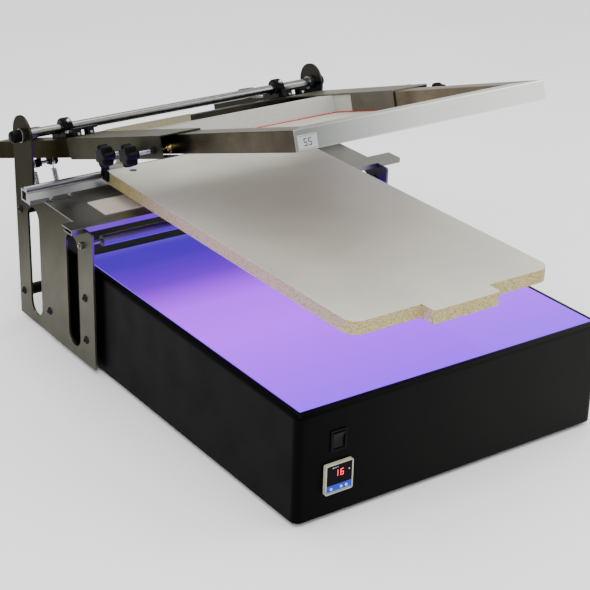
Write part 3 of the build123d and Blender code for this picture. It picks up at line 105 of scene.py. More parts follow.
# Swinging side, in millimetres along it from the shaft and above it: the frame's ends, top and
# underside, the front of its label, the mesh's front edge and underside, and the clamp screws
FRAME_ENDS = (-711.0, -181.0)
FRAME_FACES = (-16.0, -46.0)
LABEL_FACE = -711.4
CLOTH_FRONT, CLOTH_UNDER = -705.0, -46.38
CLAMP_PLACES, CLAMP_LEVEL = (-369.0, -291.0), -35.5
SPRING_PIN = swung(0, 69.0, -56.0)

# Angle past which an edge is rounded, sides of a box by its corners, and bars of each digit
EDGE_ANGLE = 35.0
BOX_SIDES = ((3, 2, 1, 0), (4, 5, 6, 7), (0, 1, 5, 4), (1, 2, 6, 5), (2, 3, 7, 6), (3, 0, 4, 7))
DIGIT_BARS = ("abcdef", "bc", "abged", "abgcd", "fgbc", "afgcd", "afgedc", "abc", "abcdefg", "abcdfg")


# Settings
class PressScreenSettings(PropertyGroup):
    """Sizes and colours of the screen."""

    cloth_colour: FloatVectorProperty(
        name="Mesh colour", description="Colour of the woven mesh", subtype="COLOR",
        size=3, min=0, max=1, default=(0.40, 0.37, 0.295))
    cloth_thickness: FloatProperty(
        name="Mesh thickness", description="Thickness of the woven mesh", subtype="DISTANCE",
        unit="LENGTH", default=0.00035)
    glue_colour: FloatVectorProperty(
        name="Glue colour", description="Colour of the bead that holds the mesh", subtype="COLOR",
        size=3, min=0, max=1, default=(0.55, 0.022, 0.012))
    label_number: IntProperty(
        name="Label number", description="Number on the frame's label", default=55, min=0, max=99)


class PressGlowSettings(PropertyGroup):
    """Light of the exposure unit."""

    rear_colour: FloatVectorProperty(
        name="Rear glow", description="Colour of the glass towards the rear", subtype="COLOR",
        size=3, min=0, max=1, default=(0.029, 0.0, 0.24))
    middle_colour: FloatVectorProperty(
        name="Middle glow", description="Colour of the glass before the middle", subtype="COLOR",
        size=3, min=0, max=1, default=(0.36, 0.0, 1.0))
    strength: FloatProperty(
        name="Glow", description="Strength of the light from the glass", default=2.6, min=0)
    fill: FloatProperty(
        name="Violet fill", description="Power of the violet light above the glass", default=6.0, min=0)
    digits: IntProperty(
        name="Timer reading", description="Number that the timer shows", default=16, min=0, max=99)


class PressMetalSettings(PropertyGroup):
    """Metal parts."""

    edge_softness: FloatProperty(
        name="Edge softness", description="Rounding of the small parts' edges", subtype="DISTANCE",
        unit="LENGTH", default=0.0004)
    wire: FloatProperty(
        name="Spring wire", description="Thickness of the spring wire", subtype="DISTANCE",
        unit="LENGTH", default=0.002)
    turns: IntProperty(
        name="Spring turns", description="Turns in each lifting spring", default=16, min=2)
    steel_colour: FloatVectorProperty(
        name="Stainless colour", description="Colour of the bent stainless parts", subtype="COLOR",
        size=3, min=0, max=1, default=(0.132, 0.128, 0.110))


class PressKnobSettings(PropertyGroup):
    """Clamp knobs."""

    radius: FloatProperty(
        name="Knob radius", description="Radius over the lobes", subtype="DISTANCE",
        unit="LENGTH", default=0.0185)
    lobes: IntProperty(name="Lobes", description="Number of lobes", default=7, min=3)
    pitch: FloatProperty(
        name="Thread pitch", description="Rise of the clamp screw in one turn", subtype="DISTANCE",
        unit="LENGTH", default=0.001)


# Node trees
class Nodes:
    """A node tree under construction."""

    def node(self, kind, wires={}, **values):
        """Add a node, set its properties, and feed its inputs with sockets or constants."""
        node = self.tree.nodes.new(kind)
        for key, value in values.items():
            setattr(node, key, value)
        for key, sources in wires.items():
            for source in sources if isinstance(sources, list) else [sources]:
                if isinstance(source, bpy.types.NodeSocket):
                    self.tree.links.new(source, node.inputs[key])
                else:
                    node.inputs[key].default_value = source
        return node


class Finish(Nodes):
    """A procedural finish under construction."""

    made = {}

    def __init__(self, name, colour, roughness, metallic=0.0):
        Finish.made[name] = bpy.data.materials.new(name)
        Finish.made[name].use_nodes = True
        self.tree = Finish.made[name].node_tree
        self.shader = self.tree.nodes["Principled BSDF"]
        self.put("Base Color", (*colour, 1.0))
        self.put("Roughness", roughness)
        self.put("Metallic", metallic)
        self.colour = colour
        self.place = None

    def put(self, socket, value):
        """Set a constant on the shader."""
        self.shader.inputs[socket].default_value = value

    def feed(self, socket, source):
        """Let a pattern drive the shader."""
        self.tree.links.new(source, self.shader.inputs[socket])

    def coords(self, scale=(1, 1, 1), turn=(0, 0, 0)):
        """Object coordinates, stretched and turned."""
        place = self.node("ShaderNodeTexCoord").outputs["Object"]
        mapping = {"Vector": place, "Scale": scale, "Rotation": turn}
        return self.node("ShaderNodeMapping", mapping).outputs["Vector"]

    def axis(self, letter, turn=(0, 0, 0)):
        """One of the object coordinates, after a turn."""
        return self.node("ShaderNodeSeparateXYZ", {"Vector": self.coords(turn=turn)}).outputs[letter]

    def noise(self, size, detail, stretch=(1, 1, 1), turn=(0, 0, 0)):
        """Noise whose grains are about size metres across; the first one's turn holds for all."""
        if self.place is None:
            self.place = (self.coords(turn=turn) if any(turn)
                          else self.node("ShaderNodeTexCoord").outputs["Object"])
        mapping = self.node("ShaderNodeMapping", {"Vector": self.place, "Scale": stretch})
        return self.node("ShaderNodeTexNoise", {
            "Vector": mapping.outputs["Vector"], "Scale": 1.0 / size, "Detail": detail,
            "Roughness": 0.55}).outputs["Fac"]

    def maths(self, operation, *terms):
        """Result of a sum on sockets or numbers."""
        return self.node("ShaderNodeMath", dict(enumerate(terms)), operation=operation).outputs["Value"]

    def blend(self, fac, a, b):
        """Mix of two patterns."""
        return self.node("ShaderNodeMix", {"Factor": fac, 6: a, 7: b}, data_type="RGBA").outputs[2]

    def scaled(self, colour, share):
        """Colour times a pattern."""
        wires = {"Vector": colour, "Scale": share}
        return self.node("ShaderNodeVectorMath", wires, operation="SCALE").outputs["Vector"]

    def spread(self, fac, low, high, start=0.3, end=0.7):
        """Number between low and high as fac goes from start to end."""
        span = {"Value": fac, "From Min": start, "From Max": end, "To Min": low, "To Max": high}
        return self.node("ShaderNodeMapRange", span).outputs["Result"]

    def ramp(self, fac, stops):
        """Colours along fac; stops are (place, colour)."""
        ramp = self.node("ShaderNodeValToRGB", {"Fac": fac})
        band = ramp.color_ramp
        while len(band.elements) < len(stops):
            band.elements.new(0.5)
        for element, (place, colour) in zip(band.elements, stops):
            element.position = place
            element.color = (*colour, 1.0)
        return ramp.outputs["Color"]

    def tint(self, fac, darker, lighter):
        """Vary the base colour between two brightnesses."""
        low = tuple(c * darker for c in self.colour)
        high = tuple(min(1.0, c * lighter) for c in self.colour)
        self.feed("Base Color", self.ramp(fac, ((0.3, low), (0.7, high))))

    def rough(self, fac, low, high):
        """Vary the roughness."""
        self.feed("Roughness", self.spread(fac, low, high))

    def bump(self, fac, height, strength):
        """Raise the surface by height metres where fac is high, over any earlier bump."""
        wires = {"Height": fac, "Distance": height, "Strength": strength}
        last = self.shader.inputs["Normal"]
        if last.is_linked:
            wires["Normal"] = last.links[0].from_socket
        self.feed("Normal", self.node("ShaderNodeBump", wires).outputs["Normal"])


class Tree(Nodes):
    """A Geometry Nodes tree under construction."""

    def __init__(self, name):
        self.tree = bpy.data.node_groups.new(name, "GeometryNodeTree")
        self.ids = {}
        for in_out in ("INPUT", "OUTPUT"):
            self.tree.interface.new_socket("Geometry", in_out=in_out, socket_type="NodeSocketGeometry")
        self.entry = self.tree.nodes.new("NodeGroupInput")
        self.exit = self.tree.nodes.new("NodeGroupOutput")

    def number(self, name, value):
        """Declare a named input and return its socket."""
        item = self.tree.interface.new_socket(name, in_out="INPUT", socket_type="NodeSocketFloat")
        item.default_value = value
        self.ids[name] = item.identifier
        return self.entry.outputs[name]

    def moved(self, geometry, socket, value):
        """Geometry after a Transform whose one socket is set."""
        wires = {"Geometry": geometry, socket: value}
        return self.node("GeometryNodeTransform", wires).outputs["Geometry"]

    def swept(self, curve, radius, sides):
        """Round bar along a curve."""
        profile = self.node("GeometryNodeCurvePrimitiveCircle", {"Resolution": sides, "Radius": radius})
        return self.node("GeometryNodeCurveToMesh", {
            "Curve": curve, "Profile Curve": profile.outputs["Curve"], "Fill Caps": True}).outputs["Mesh"]

    def close(self, geometry, finish):
        """End the tree in real geometry with one finish."""
        real = self.node("GeometryNodeRealizeInstances", {"Geometry": geometry})
        paint = self.node("GeometryNodeSetMaterial", {
            "Geometry": real.outputs["Geometry"], "Material": Finish.made[finish]})
        self.tree.links.new(paint.outputs["Geometry"], self.exit.inputs["Geometry"])

    def close_on_points(self, shape, finish):
        """End the tree with the shape on each of the carrier's points, turned to face its way."""
        facing = self.node("GeometryNodeInputNamedAttribute", {"Name": "facing"}, data_type="FLOAT_VECTOR")
        align = self.node("FunctionNodeAlignEulerToVector", {"Vector": facing.outputs["Attribute"]}, axis="Z")
        spread = self.node("GeometryNodeInstanceOnPoints", {
            "Points": self.entry.outputs["Geometry"], "Instance": shape,
            "Rotation": align.outputs["Rotation"]})
        self.close(spread.outputs["Instances"], finish)


# Materials
def brushed(name, colour, direction, rough=(0.26, 0.42), turn=0.0, wear=0.12, painted_shading=None, rim=None):
    """Metal with fine brush lines along one axis and faint smears.

    The shading ramp (direction, low, high, share) paints light and shade: the colour goes to
    that share of itself from low to high along the direction. rim is the tint of the reflection at a flat
    angle.
    """
    look = Finish(name, colour, 0.35, 1.0)
    stretch = tuple(0.015 if letter == direction else 1.0 for letter in "XYZ")
    lines = look.noise(0.0009, 2.0, stretch, (turn, 0, 0))
    smears = look.noise(0.05, 4.0)
    look.tint(smears, 1 - wear, 1 + wear)
    # Painted light and shade: the base colour is scaled along a direction
    if painted_shading:
        along, low, high, share = painted_shading
        reach = look.node("ShaderNodeVectorMath", {0: look.coords(), 1: along}, operation="DOT_PRODUCT")
        depth = look.spread(reach.outputs["Value"], 1.0, share, low, high)
        colours = look.shader.inputs["Base Color"].links[0].from_socket
        look.feed("Base Color", look.scaled(colours, depth))
    look.rough(look.maths("MULTIPLY_ADD", lines, 0.65, look.spread(smears, 0.0, 0.35, 0.2, 0.8)), *rough)
    look.bump(lines, 0.00003, 0.35)
    look.put("Anisotropic", 0.4)
    if rim:
        look.put("Specular Tint", (*rim, 1.0))


def frame_finish():
    """Frame tube: brushed along each bar up to its mitre, with painted light making the cross bars and the
    bars to the right paler.
    """
    look = Finish("frame_bars", (0.30, 0.275, 0.25), 0.3, 1.0)
    level = (TILT, 0, 0)
    middle = swung(0, sum(FRAME_ENDS) / 2, sum(FRAME_FACES) / 2)
    x = look.maths("SUBTRACT", look.axis("X", level), middle.x)
    s = look.maths("SUBTRACT", look.axis("Y", level), middle.y * math.cos(TILT) - middle.z * math.sin(TILT))
    ends = look.maths("SUBTRACT", look.maths("ABSOLUTE", s), look.maths("ABSOLUTE", x))
    longer_by = 0.0395
    cross = look.maths("GREATER_THAN", ends, longer_by)
    smears = look.noise(0.05, 4.0, turn=level)
    # Side bars: dark steel with smears, and painted light making them up to three times paler to the right
    along = look.ramp(smears, ((0.3, (0.050, 0.043, 0.032)), (0.7, (0.088, 0.077, 0.059))))
    along = look.scaled(along, look.spread(x, 1.0, 3.0, -0.1, 0.2))
    # Cross bars: painted light and reflection, a ramp from grey to near white towards the right
    across = look.ramp(look.spread(x, 0.0, 1.0, -0.2, 0.2), (
        (0.0, (0.24, 0.255, 0.24)), (0.5, (0.80, 0.81, 0.77)), (1.0, (0.98, 0.98, 0.93))))
    lines = look.blend(cross, look.noise(0.0012, 2.0, (1, 0.015, 1)), look.noise(0.0012, 2.0, (0.015, 1, 1)))
    look.feed("Base Color", look.blend(cross, along, across))
    look.rough(lines, 0.26, 0.36)
    look.bump(lines, 0.00001, 0.3)
    look.put("Specular Tint", (0.6, 0.58, 0.52, 1.0))


def moulded(name, colour, rough=(0.32, 0.5), grain=0.0006, height=0.00005):
    """Moulded plastic with a fine grain."""
    look = Finish(name, colour, 0.4)
    look.put("Specular IOR Level", 0.05)
    broad = look.noise(0.02, 3.0)
    look.tint(broad, 0.85, 1.2)
    look.rough(broad, *rough)
    look.bump(look.noise(grain, 2.0), height, 0.5)


def smooth_metal(name, colour, rough):
    """Ground or plated metal, nearly even, with a faint haze."""
    look = Finish(name, colour, 0.18, 1.0)
    haze = look.noise(0.012, 4.0)
    look.tint(haze, 0.9, 1.08)
    look.rough(haze, *rough)
    look.bump(look.noise(0.0012, 2.0), 0.00001, 0.3)


def casing_finish():
    """Black powder coat: a fine orange peel with soft gloss, and painted light that makes it greyer to the
    right.
    """
    look = Finish("casing_black", (0.0035, 0.0035, 0.004), 0.38)
    dust = look.noise(0.06, 5.0)
    # Painted light: the coat goes greyer from left to right, with a little noise
    across = look.spread(look.axis("X"), 0.0, 1.0, ORIGIN.x - HALF_WIDTH, ORIGIN.x + HALF_WIDTH)
    painted_light_across = look.maths("ADD", across, look.maths("MULTIPLY", look.maths("SUBTRACT", dust, 0.5), 0.05))
    look.feed("Base Color", look.ramp(painted_light_across, (
        (0.0, (0.0003, 0.0003, 0.0003)), (1.0, (0.010, 0.0105, 0.0095)))))
    look.rough(dust, 0.30, 0.46)
    look.bump(look.noise(0.0016, 3.0), 0.00008, 0.5)
    look.put("Specular IOR Level", 0.03)


def glow_finish(glow):
    """Glass over the lamps: bright violet before the middle, deep blue towards the rear."""
    look = Finish("lit_glass", (0.01, 0.004, 0.05), 0.10)
    depth = look.spread(look.axis("Y"), 0.0, 1.0, ORIGIN.y - HALF_DEPTH, ORIGIN.y + HALF_DEPTH)
    rear = tuple(glow.rear_colour)
    middle = tuple(glow.middle_colour)
    front = tuple(c * share for c, share in zip(middle, (0.5, 1.0, 0.9)))
    between = tuple(a * 0.85 + b * 0.15 for a, b in zip(rear, middle))
    look.feed("Emission Color", look.ramp(depth, (
        (0.0, front), (0.36, middle), (0.5, tuple(c * 0.9 for c in middle)), (0.64, between), (0.76, rear))))
    look.put("Emission Strength", glow.strength)
    look.rough(look.noise(0.09, 4.0), 0.06, 0.14)
    look.put("Specular IOR Level", 0.06)


def chipboard_finish():
    """Pressed wood chips: pale and dark flakes lying flat, with open pits."""
    look = Finish("chipboard", (0.62, 0.52, 0.27), 0.75)
    cells = look.node("ShaderNodeTexVoronoi", {"Vector": look.coords((1.0, 1.0, 2.6)), "Scale": 520.0})
    shade = look.node("ShaderNodeSeparateColor", {"Color": cells.outputs["Color"]})
    look.feed("Base Color", look.ramp(shade.outputs["Red"], (
        (0.0, (0.15, 0.11, 0.04)), (0.25, (0.33, 0.26, 0.10)), (0.6, (0.43, 0.355, 0.155)),
        (0.9, (0.52, 0.44, 0.22)))))
    look.rough(shade.outputs["Green"], 0.6, 0.9)
    look.bump(cells.outputs["Distance"], -0.0005, 0.6)
    look.bump(look.noise(0.0012, 4.0), 0.0003, 0.5)


def laminate_finish():
    """Smooth cream board, faintly soiled by printing."""
    look = Finish("platen_cream", (0.56, 0.54, 0.46), 0.5)
    broad = look.noise(0.12, 5.0)
    look.tint(broad, 0.9, 1.06)
    look.rough(broad, 0.38, 0.58)
    look.bump(look.noise(0.0015, 3.0), 0.00006, 0.4)


def mesh_finish(screen):
    """Woven polyester, seen as a fine grid with a soft sheen."""
    look = Finish("woven_mesh", tuple(screen.cloth_colour), 0.6)
    threads = {"Vector": look.node("ShaderNodeTexCoord").outputs["UV"], "Scale": 700.0}
    weave = look.maths("MAXIMUM", *(
        look.node("ShaderNodeTexWave", threads, wave_type="BANDS", bands_direction=way).outputs["Fac"]
        for way in "XY"))
    look.tint(look.noise(0.08, 4.0), 0.86, 1.12)
    look.bump(weave, 0.00012, 0.5)
    look.rough(weave, 0.45, 0.7)
    look.put("Sheen Weight", 0.25)
    look.put("Sheen Roughness", 0.4)
    look.put("Alpha", 0.9)


def plain_finish(name, colour, roughness, wear=0.1, emission=None, gloss=0.5):
    """Small parts: an even colour with slight mottling; emission is a colour and its strength."""
    look = Finish(name, colour, roughness)
    mottle = look.noise(0.006, 3.0)
    look.tint(mottle, 1 - wear, 1 + wear)
    look.rough(mottle, roughness * 0.85, min(1.0, roughness * 1.15))
    look.bump(look.noise(0.0008, 2.0), 0.00003, 0.4)
    look.put("Specular IOR Level", gloss)
    if emission:
        look.put("Emission Color", (*emission[:3], 1.0))
        look.put("Emission Strength", emission[3])


# Mesh helpers
def piece(name, mesh, body, finishes=(), node=None):
    """Put a finished mesh in the scene, let it ride, and let it stand for a node."""
    obj = bpy.data.objects.new(name, mesh)
    bpy.context.scene.collection.objects.link(obj)
    for finish in finishes:
        mesh.materials.append(Finish.made[finish])
    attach(obj, body)
    if node:
        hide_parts(node)
    return obj


def round_shading(mesh, angle=32.0):
    """Smooth shading that keeps real edges."""
    for face in mesh.polygons:
        face.use_smooth = True
    mesh.set_sharp_from_angle(angle=math.radians(angle))


def finish_bmesh(name, bm, body, finishes, node=None, angle=32.0):
    """Turn a bmesh into a finished piece."""
    mesh = bpy.data.meshes.new(name)
    bm.to_mesh(mesh)
    bm.free()
    round_shading(mesh, angle)
    return piece(name, mesh, body, finishes, node)


def welded_copy(name):
    """Merged copy of a CAD node, as a bmesh of clean flat faces."""
    bm = bmesh.new()
    bm.from_mesh(NODES[name].data)
    bmesh.ops.remove_doubles(bm, verts=bm.verts, dist=2e-6)
    bmesh.ops.dissolve_limit(bm, angle_limit=math.radians(0.4), verts=bm.verts, edges=bm.edges)
    return bm


def softened(name, body, finishes, width=None, second=None):
    """Replace a CAD node by a copy with slightly rounded edges.

    width is the rounding, or else the setting's. second tells from a face's middle and normal
    whether it takes the second finish.
    """
    bm = welded_copy(name)
    sharp = [e for e in bm.edges
             if len(e.link_faces) == 2 and e.calc_face_angle(0.0) > math.radians(EDGE_ANGLE)]
    rounded = set(bmesh.ops.bevel(
        bm, geom=sharp, offset=width or bpy.context.scene.press_metal.edge_softness, offset_type="OFFSET",
        segments=2, profile=0.5, affect="EDGES", clamp_overlap=True)["faces"])
    if second:
        for face in bm.faces:
            face.material_index = int(second(face.calc_center_median(), face.normal))
    bm.edges.index_update()
    rims = [e.index for e in bm.edges if len({face in rounded for face in e.link_faces}) == 2]
    obj = finish_bmesh(name + "_dressed", bm, body, finishes, name, EDGE_ANGLE)
    for index in rims:
        obj.data.edges[index].use_edge_sharp = True


def soften_each(body, *rows):
    """Soften nodes of one finish; a row is (node, finish, rounding), or without the setting's rounding."""
    for name, finish, *width in rows:
        softened(name, body, (finish,), *width)


def dress(name, finish):
    """Give a CAD node its finish."""
    node = NODES[name]
    if not node.material_slots:
        node.data.materials.append(Finish.made[finish])
    for slot in node.material_slots:
        slot.material = Finish.made[finish]


def box_into(bm, low, high, place=fixed):
    """Add a box between two corners of the fixed or the swinging side."""
    corners = [bm.verts.new(place(x, y, z)) for z in (low[2], high[2]) for x, y in (
        (low[0], low[1]), (high[0], low[1]), (high[0], high[1]), (low[0], high[1]))]
    for side in BOX_SIDES:
        bm.faces.new([corners[i] for i in side])


def ring_into(bm, centre, across, other, radii):
    """Add a ring of points about a centre, one for each radius in millimetres."""
    ring = []
    for i, radius in enumerate(radii):
        turn = 2 * math.pi * i / len(radii)
        out = across * math.cos(turn) + other * math.sin(turn)
        ring.append(bm.verts.new(centre + out * (radius * MM)))
    return ring


def skin(bm, rings):
    """Join rings by faces; a ring of one point closes to it."""
    faces = []
    for low, high in zip(rings, rings[1:]):
        count = max(len(low), len(high))
        for i in range(count):
            j = (i + 1) % count
            corners = (low[i % len(low)], low[j % len(low)], high[j % len(high)], high[i % len(high)])
            faces.append(bm.faces.new(tuple(dict.fromkeys(corners))))
    return faces


def lathe_into(bm, profile, origin, axis, count, index):
    """Turn a profile of (radius, height) in millimetres, from axis to axis, about an axis."""
    side = axis.orthogonal().normalized()
    rings = []
    for radius, height in profile:
        centre = origin + axis * (height * MM)
        rings.append(ring_into(bm, centre, side, axis.cross(side), [radius] * count)
                     if radius else [bm.verts.new(centre)])
    faces = skin(bm, rings)
    for face in faces:
        face.material_index = index
    bmesh.ops.recalc_face_normals(bm, faces=faces)


# Geometry nodes
def grown(rule, carrier, values):
    """Run a Geometry Nodes tree on a carrier mesh and return the plain mesh it makes."""
    obj = bpy.data.objects.new(carrier.name, carrier)
    bpy.context.scene.collection.objects.link(obj)
    modifier = obj.modifiers.new("Grow", "NODES")
    modifier.node_group = rule.tree
    for name, value in values.items():
        modifier[rule.ids[name]] = value
    graph = bpy.context.evaluated_depsgraph_get()
    mesh = bpy.data.meshes.new_from_object(obj.evaluated_get(graph))
    obj.modifiers.remove(modifier)
    bpy.data.objects.remove(obj)
    return mesh


def points_mesh(name, points, directions):
    """Carrier of loose points, each with the direction that it faces."""
    mesh = bpy.data.meshes.new(name)
    mesh.from_pydata([tuple(p) for p in points], [], [])
    layer = mesh.attributes.new("facing", "FLOAT_VECTOR", "POINT")
    for item, direction in zip(layer.data, directions):
        item.vector = direction
    return mesh


def button_tree():
    """Button-head screws with a socket and a shank, one on each point."""
    tree = Tree("Button screws")
    head = tree.number("Head radius", 0.007)
    height = tree.number("Head height", 0.0044)
    shank = tree.number("Shank radius", 0.004)
    reach = tree.number("Shank length", 0.024)
    socket = tree.number("Socket radius", 0.0028)
    block, sink = 0.04, 0.0043
    ball = tree.node("GeometryNodeMeshUVSphere", {"Segments": 32, "Rings": 24, "Radius": head})
    flat = tree.node("ShaderNodeMath", {0: height, 1: head}, operation="DIVIDE")
    scale = tree.node("ShaderNodeCombineXYZ", {"X": 1.0, "Y": 1.0, "Z": flat.outputs["Value"]})
    base = tree.node("GeometryNodeMeshCube", {"Size": (block, block, block)})
    hexagon = tree.node("GeometryNodeMeshCylinder", {"Vertices": 6, "Depth": 0.005, "Radius": socket})
    cut = tree.node("GeometryNodeMeshBoolean", {
        "Mesh 1": tree.moved(ball.outputs["Mesh"], "Scale", scale.outputs["Vector"]),
        "Mesh 2": [tree.moved(base.outputs["Mesh"], "Translation", (0, 0, -block / 2)),
                   tree.moved(hexagon.outputs["Mesh"], "Translation", (0, 0, sink))],
    }, operation="DIFFERENCE", solver="EXACT")
    rod = tree.node("GeometryNodeMeshCylinder", {"Vertices": 24, "Radius": shank, "Depth": reach})
    half = tree.node("ShaderNodeMath", {0: reach, 1: -0.5}, operation="MULTIPLY")
    drop = tree.node("ShaderNodeCombineXYZ", {"Z": half.outputs["Value"]})
    whole = tree.node("GeometryNodeJoinGeometry", {"Geometry": [
        cut.outputs["Mesh"], tree.moved(rod.outputs["Mesh"], "Translation", drop.outputs["Vector"])]})
    tree.close_on_points(whole.outputs["Geometry"], "bolt_black")
    return tree


def thread_tree():
    """A thread rib wound from each of the carrier's points."""
    tree = Tree("Screw thread")
    pitch = tree.number("Pitch", 0.001)
    radius = tree.number("Radius", 0.0028)
    length = tree.number("Length", 0.02)
    rib = tree.number("Rib", 0.0003)
    turns = tree.node("ShaderNodeMath", {0: length, 1: pitch}, operation="DIVIDE")
    coil = tree.node("GeometryNodeCurveSpiral", {
        "Resolution": 20, "Rotations": turns.outputs["Value"], "Start Radius": radius, "End Radius": radius,
        "Height": length})
    tree.close_on_points(tree.swept(coil.outputs["Curve"], rib, 4), "bolt_zinc")
    return tree


def wire_tree():
    """Round wire along the carrier's edges, at an outer and an inner place on each side."""
    tree = Tree("Bent wire")
    wire = tree.number("Wire radius", 0.001)
    offsets = (tree.number("Outer offset", 0.256), tree.number("Inner offset", 0.219))
    path = tree.node("GeometryNodeMeshToCurve", {"Mesh": tree.entry.outputs["Geometry"]})
    bar = tree.swept(path.outputs["Curve"], wire, 10)
    copies = []
    for offset in offsets:
        for side in (-1.0, 1.0):
            place = tree.node("ShaderNodeMath", {0: offset, 1: side}, operation="MULTIPLY")
            shift = tree.node("ShaderNodeCombineXYZ", {"X": place.outputs["Value"]})
            copies.append(tree.moved(bar, "Translation", shift.outputs["Vector"]))
    gather = tree.node("GeometryNodeJoinGeometry", {"Geometry": copies})
    tree.close(gather.outputs["Geometry"], "spring_wire")
    return tree


# Operators
class PRESS_OT_finishes(Operator):
    """Make the finishes of all parts."""

    bl_idname = "press.finishes"
    bl_label = "Finishes"

    def execute(self, context):
        scene = context.scene
        casing_finish()
        glow_finish(scene.press_glow)
        chipboard_finish()
        laminate_finish()
        mesh_finish(scene.press_screen)
        self.metals(tuple(scene.press_metal.steel_colour))
        moulded("black_moulding", (0.002, 0.002, 0.002))
        moulded("black_bar", (0.007, 0.007, 0.008), (0.24, 0.4), 0.0012, 0.00003)
        moulded("rubber_black", (0.015, 0.015, 0.015), (0.6, 0.8))
        moulded("timer_case", (0.36, 0.36, 0.25), (0.35, 0.5))
        plain_finish("window_dark", (0.003, 0.001, 0.003), 0.12, 0.2, gloss=0.05)
        plain_finish("strip_blue", (0.012, 0.04, 0.45), 0.3, 0.15, gloss=0.15)
        plain_finish("key_pale", (0.42, 0.48, 0.56), 0.4)
        plain_finish("digit_red", (0.6, 0.01, 0.03), 0.3, 0.05, (1.0, 0.02, 0.05, 3.0))
        plain_finish("lamp_glow", (0.6, 0.5, 1.0), 0.3, 0.05, (0.45, 0.3, 1.0, 1.0))
        plain_finish("holder_white", (0.75, 0.75, 0.72), 0.45)
        plain_finish("glass_edge", (0.02, 0.015, 0.08), 0.15, 0.05, (0.18, 0.03, 1.0, 1.7), 0.15)
        plain_finish("glue_red", tuple(scene.press_screen.glue_colour), 0.3, 0.25)
        plain_finish("tape_white", (0.43, 0.42, 0.395), 0.5, 0.05)
        plain_finish("label_paper", (0.32, 0.335, 0.34), 0.55, 0.04)
        plain_finish("print_black", (0.015, 0.015, 0.015), 0.5)
        plain_finish("facing_cream", (0.20, 0.18, 0.11), 0.5)
        plain_finish("spacer_cream", (0.60, 0.54, 0.45), 0.6, 0.06)
        return {"FINISHED"}

    def metals(self, steel):
        """Brushed stainless in four tones, which are lit and shaded copies of one steel painted in, anodised
        and plated parts.
        """
        rise = 0.4
        post = rise * (ORIGIN.y + 0.208)
        # Painted shade: the side plates darken towards the top and the rear
        brushed("plate_steel", steel, "Z", rim=(0.5, 0.49, 0.46),
                painted_shading=((0, rise, 1), post + 0.17, post + 0.32, 0.24))
        # Painted light: the shelf is a paler copy of the same steel
        brushed("shelf_steel", tuple(c * 1.25 for c in steel), "X")
        # Painted shade: the arms are a much darker copy of the same steel
        brushed("arm_steel", (0.036, 0.033, 0.027), "Y", turn=TILT, rim=(0.40, 0.39, 0.37))
        # Painted shade and light: the channels are a darker copy of the steel, painted paler towards the
        # right
        brushed("channel_steel", tuple(c * 0.42 for c in steel), "Y", turn=TILT, rim=(0.5, 0.48, 0.42),
                painted_shading=((1, 0, 0), ORIGIN.x - 0.2, ORIGIN.x + 0.2, 3.4))
        frame_finish()
        brushed("rail_anodised", (0.27, 0.27, 0.275), "X", (0.3, 0.42), wear=0.05)
        smooth_metal("ground_shaft", (0.21, 0.212, 0.205), (0.16, 0.28))
        smooth_metal("tube_satin", (0.11, 0.10, 0.13), (0.42, 0.55))
        smooth_metal("bolt_zinc", (0.42, 0.42, 0.40), (0.2, 0.34))
        smooth_metal("collar_dull", (0.17, 0.17, 0.16), (0.25, 0.4))
        smooth_metal("bolt_black", (0.018, 0.017, 0.016), (0.3, 0.45))
        smooth_metal("spring_wire", (0.40, 0.39, 0.37), (0.24, 0.4))
        smooth_metal("brass_pad", (0.70, 0.52, 0.22), (0.2, 0.35))
        smooth_metal("tray_bright", (0.8, 0.8, 0.82), (0.15, 0.3))


class PRESS_OT_casing(Operator):
    """Dress the exposure unit's casing, glass, feet and inside."""

    bl_idname = "press.casing"
    bl_label = "Casing"

    def execute(self, context):
        for name, finish in (("unit_shell", "casing_black"), ("bottom_cover", "casing_black"),
                             ("glass_frame", "black_bar"), ("glass_seal", "rubber_black"),
                             ("reflector_tray", "tray_bright"), ("uv_lamps", "lamp_glow"),
                             ("lamp_holders", "holder_white"), ("power_inlet", "black_moulding")):
            dress(name, finish)
        softened("rubber_feet", "base", ("rubber_black",), 0.0006)
        softened("glass_top", "base", ("lit_glass", "glass_edge"), 0.0003,
                 lambda centre, normal: abs(normal.z) <= 0.99)
        return {"FINISHED"}


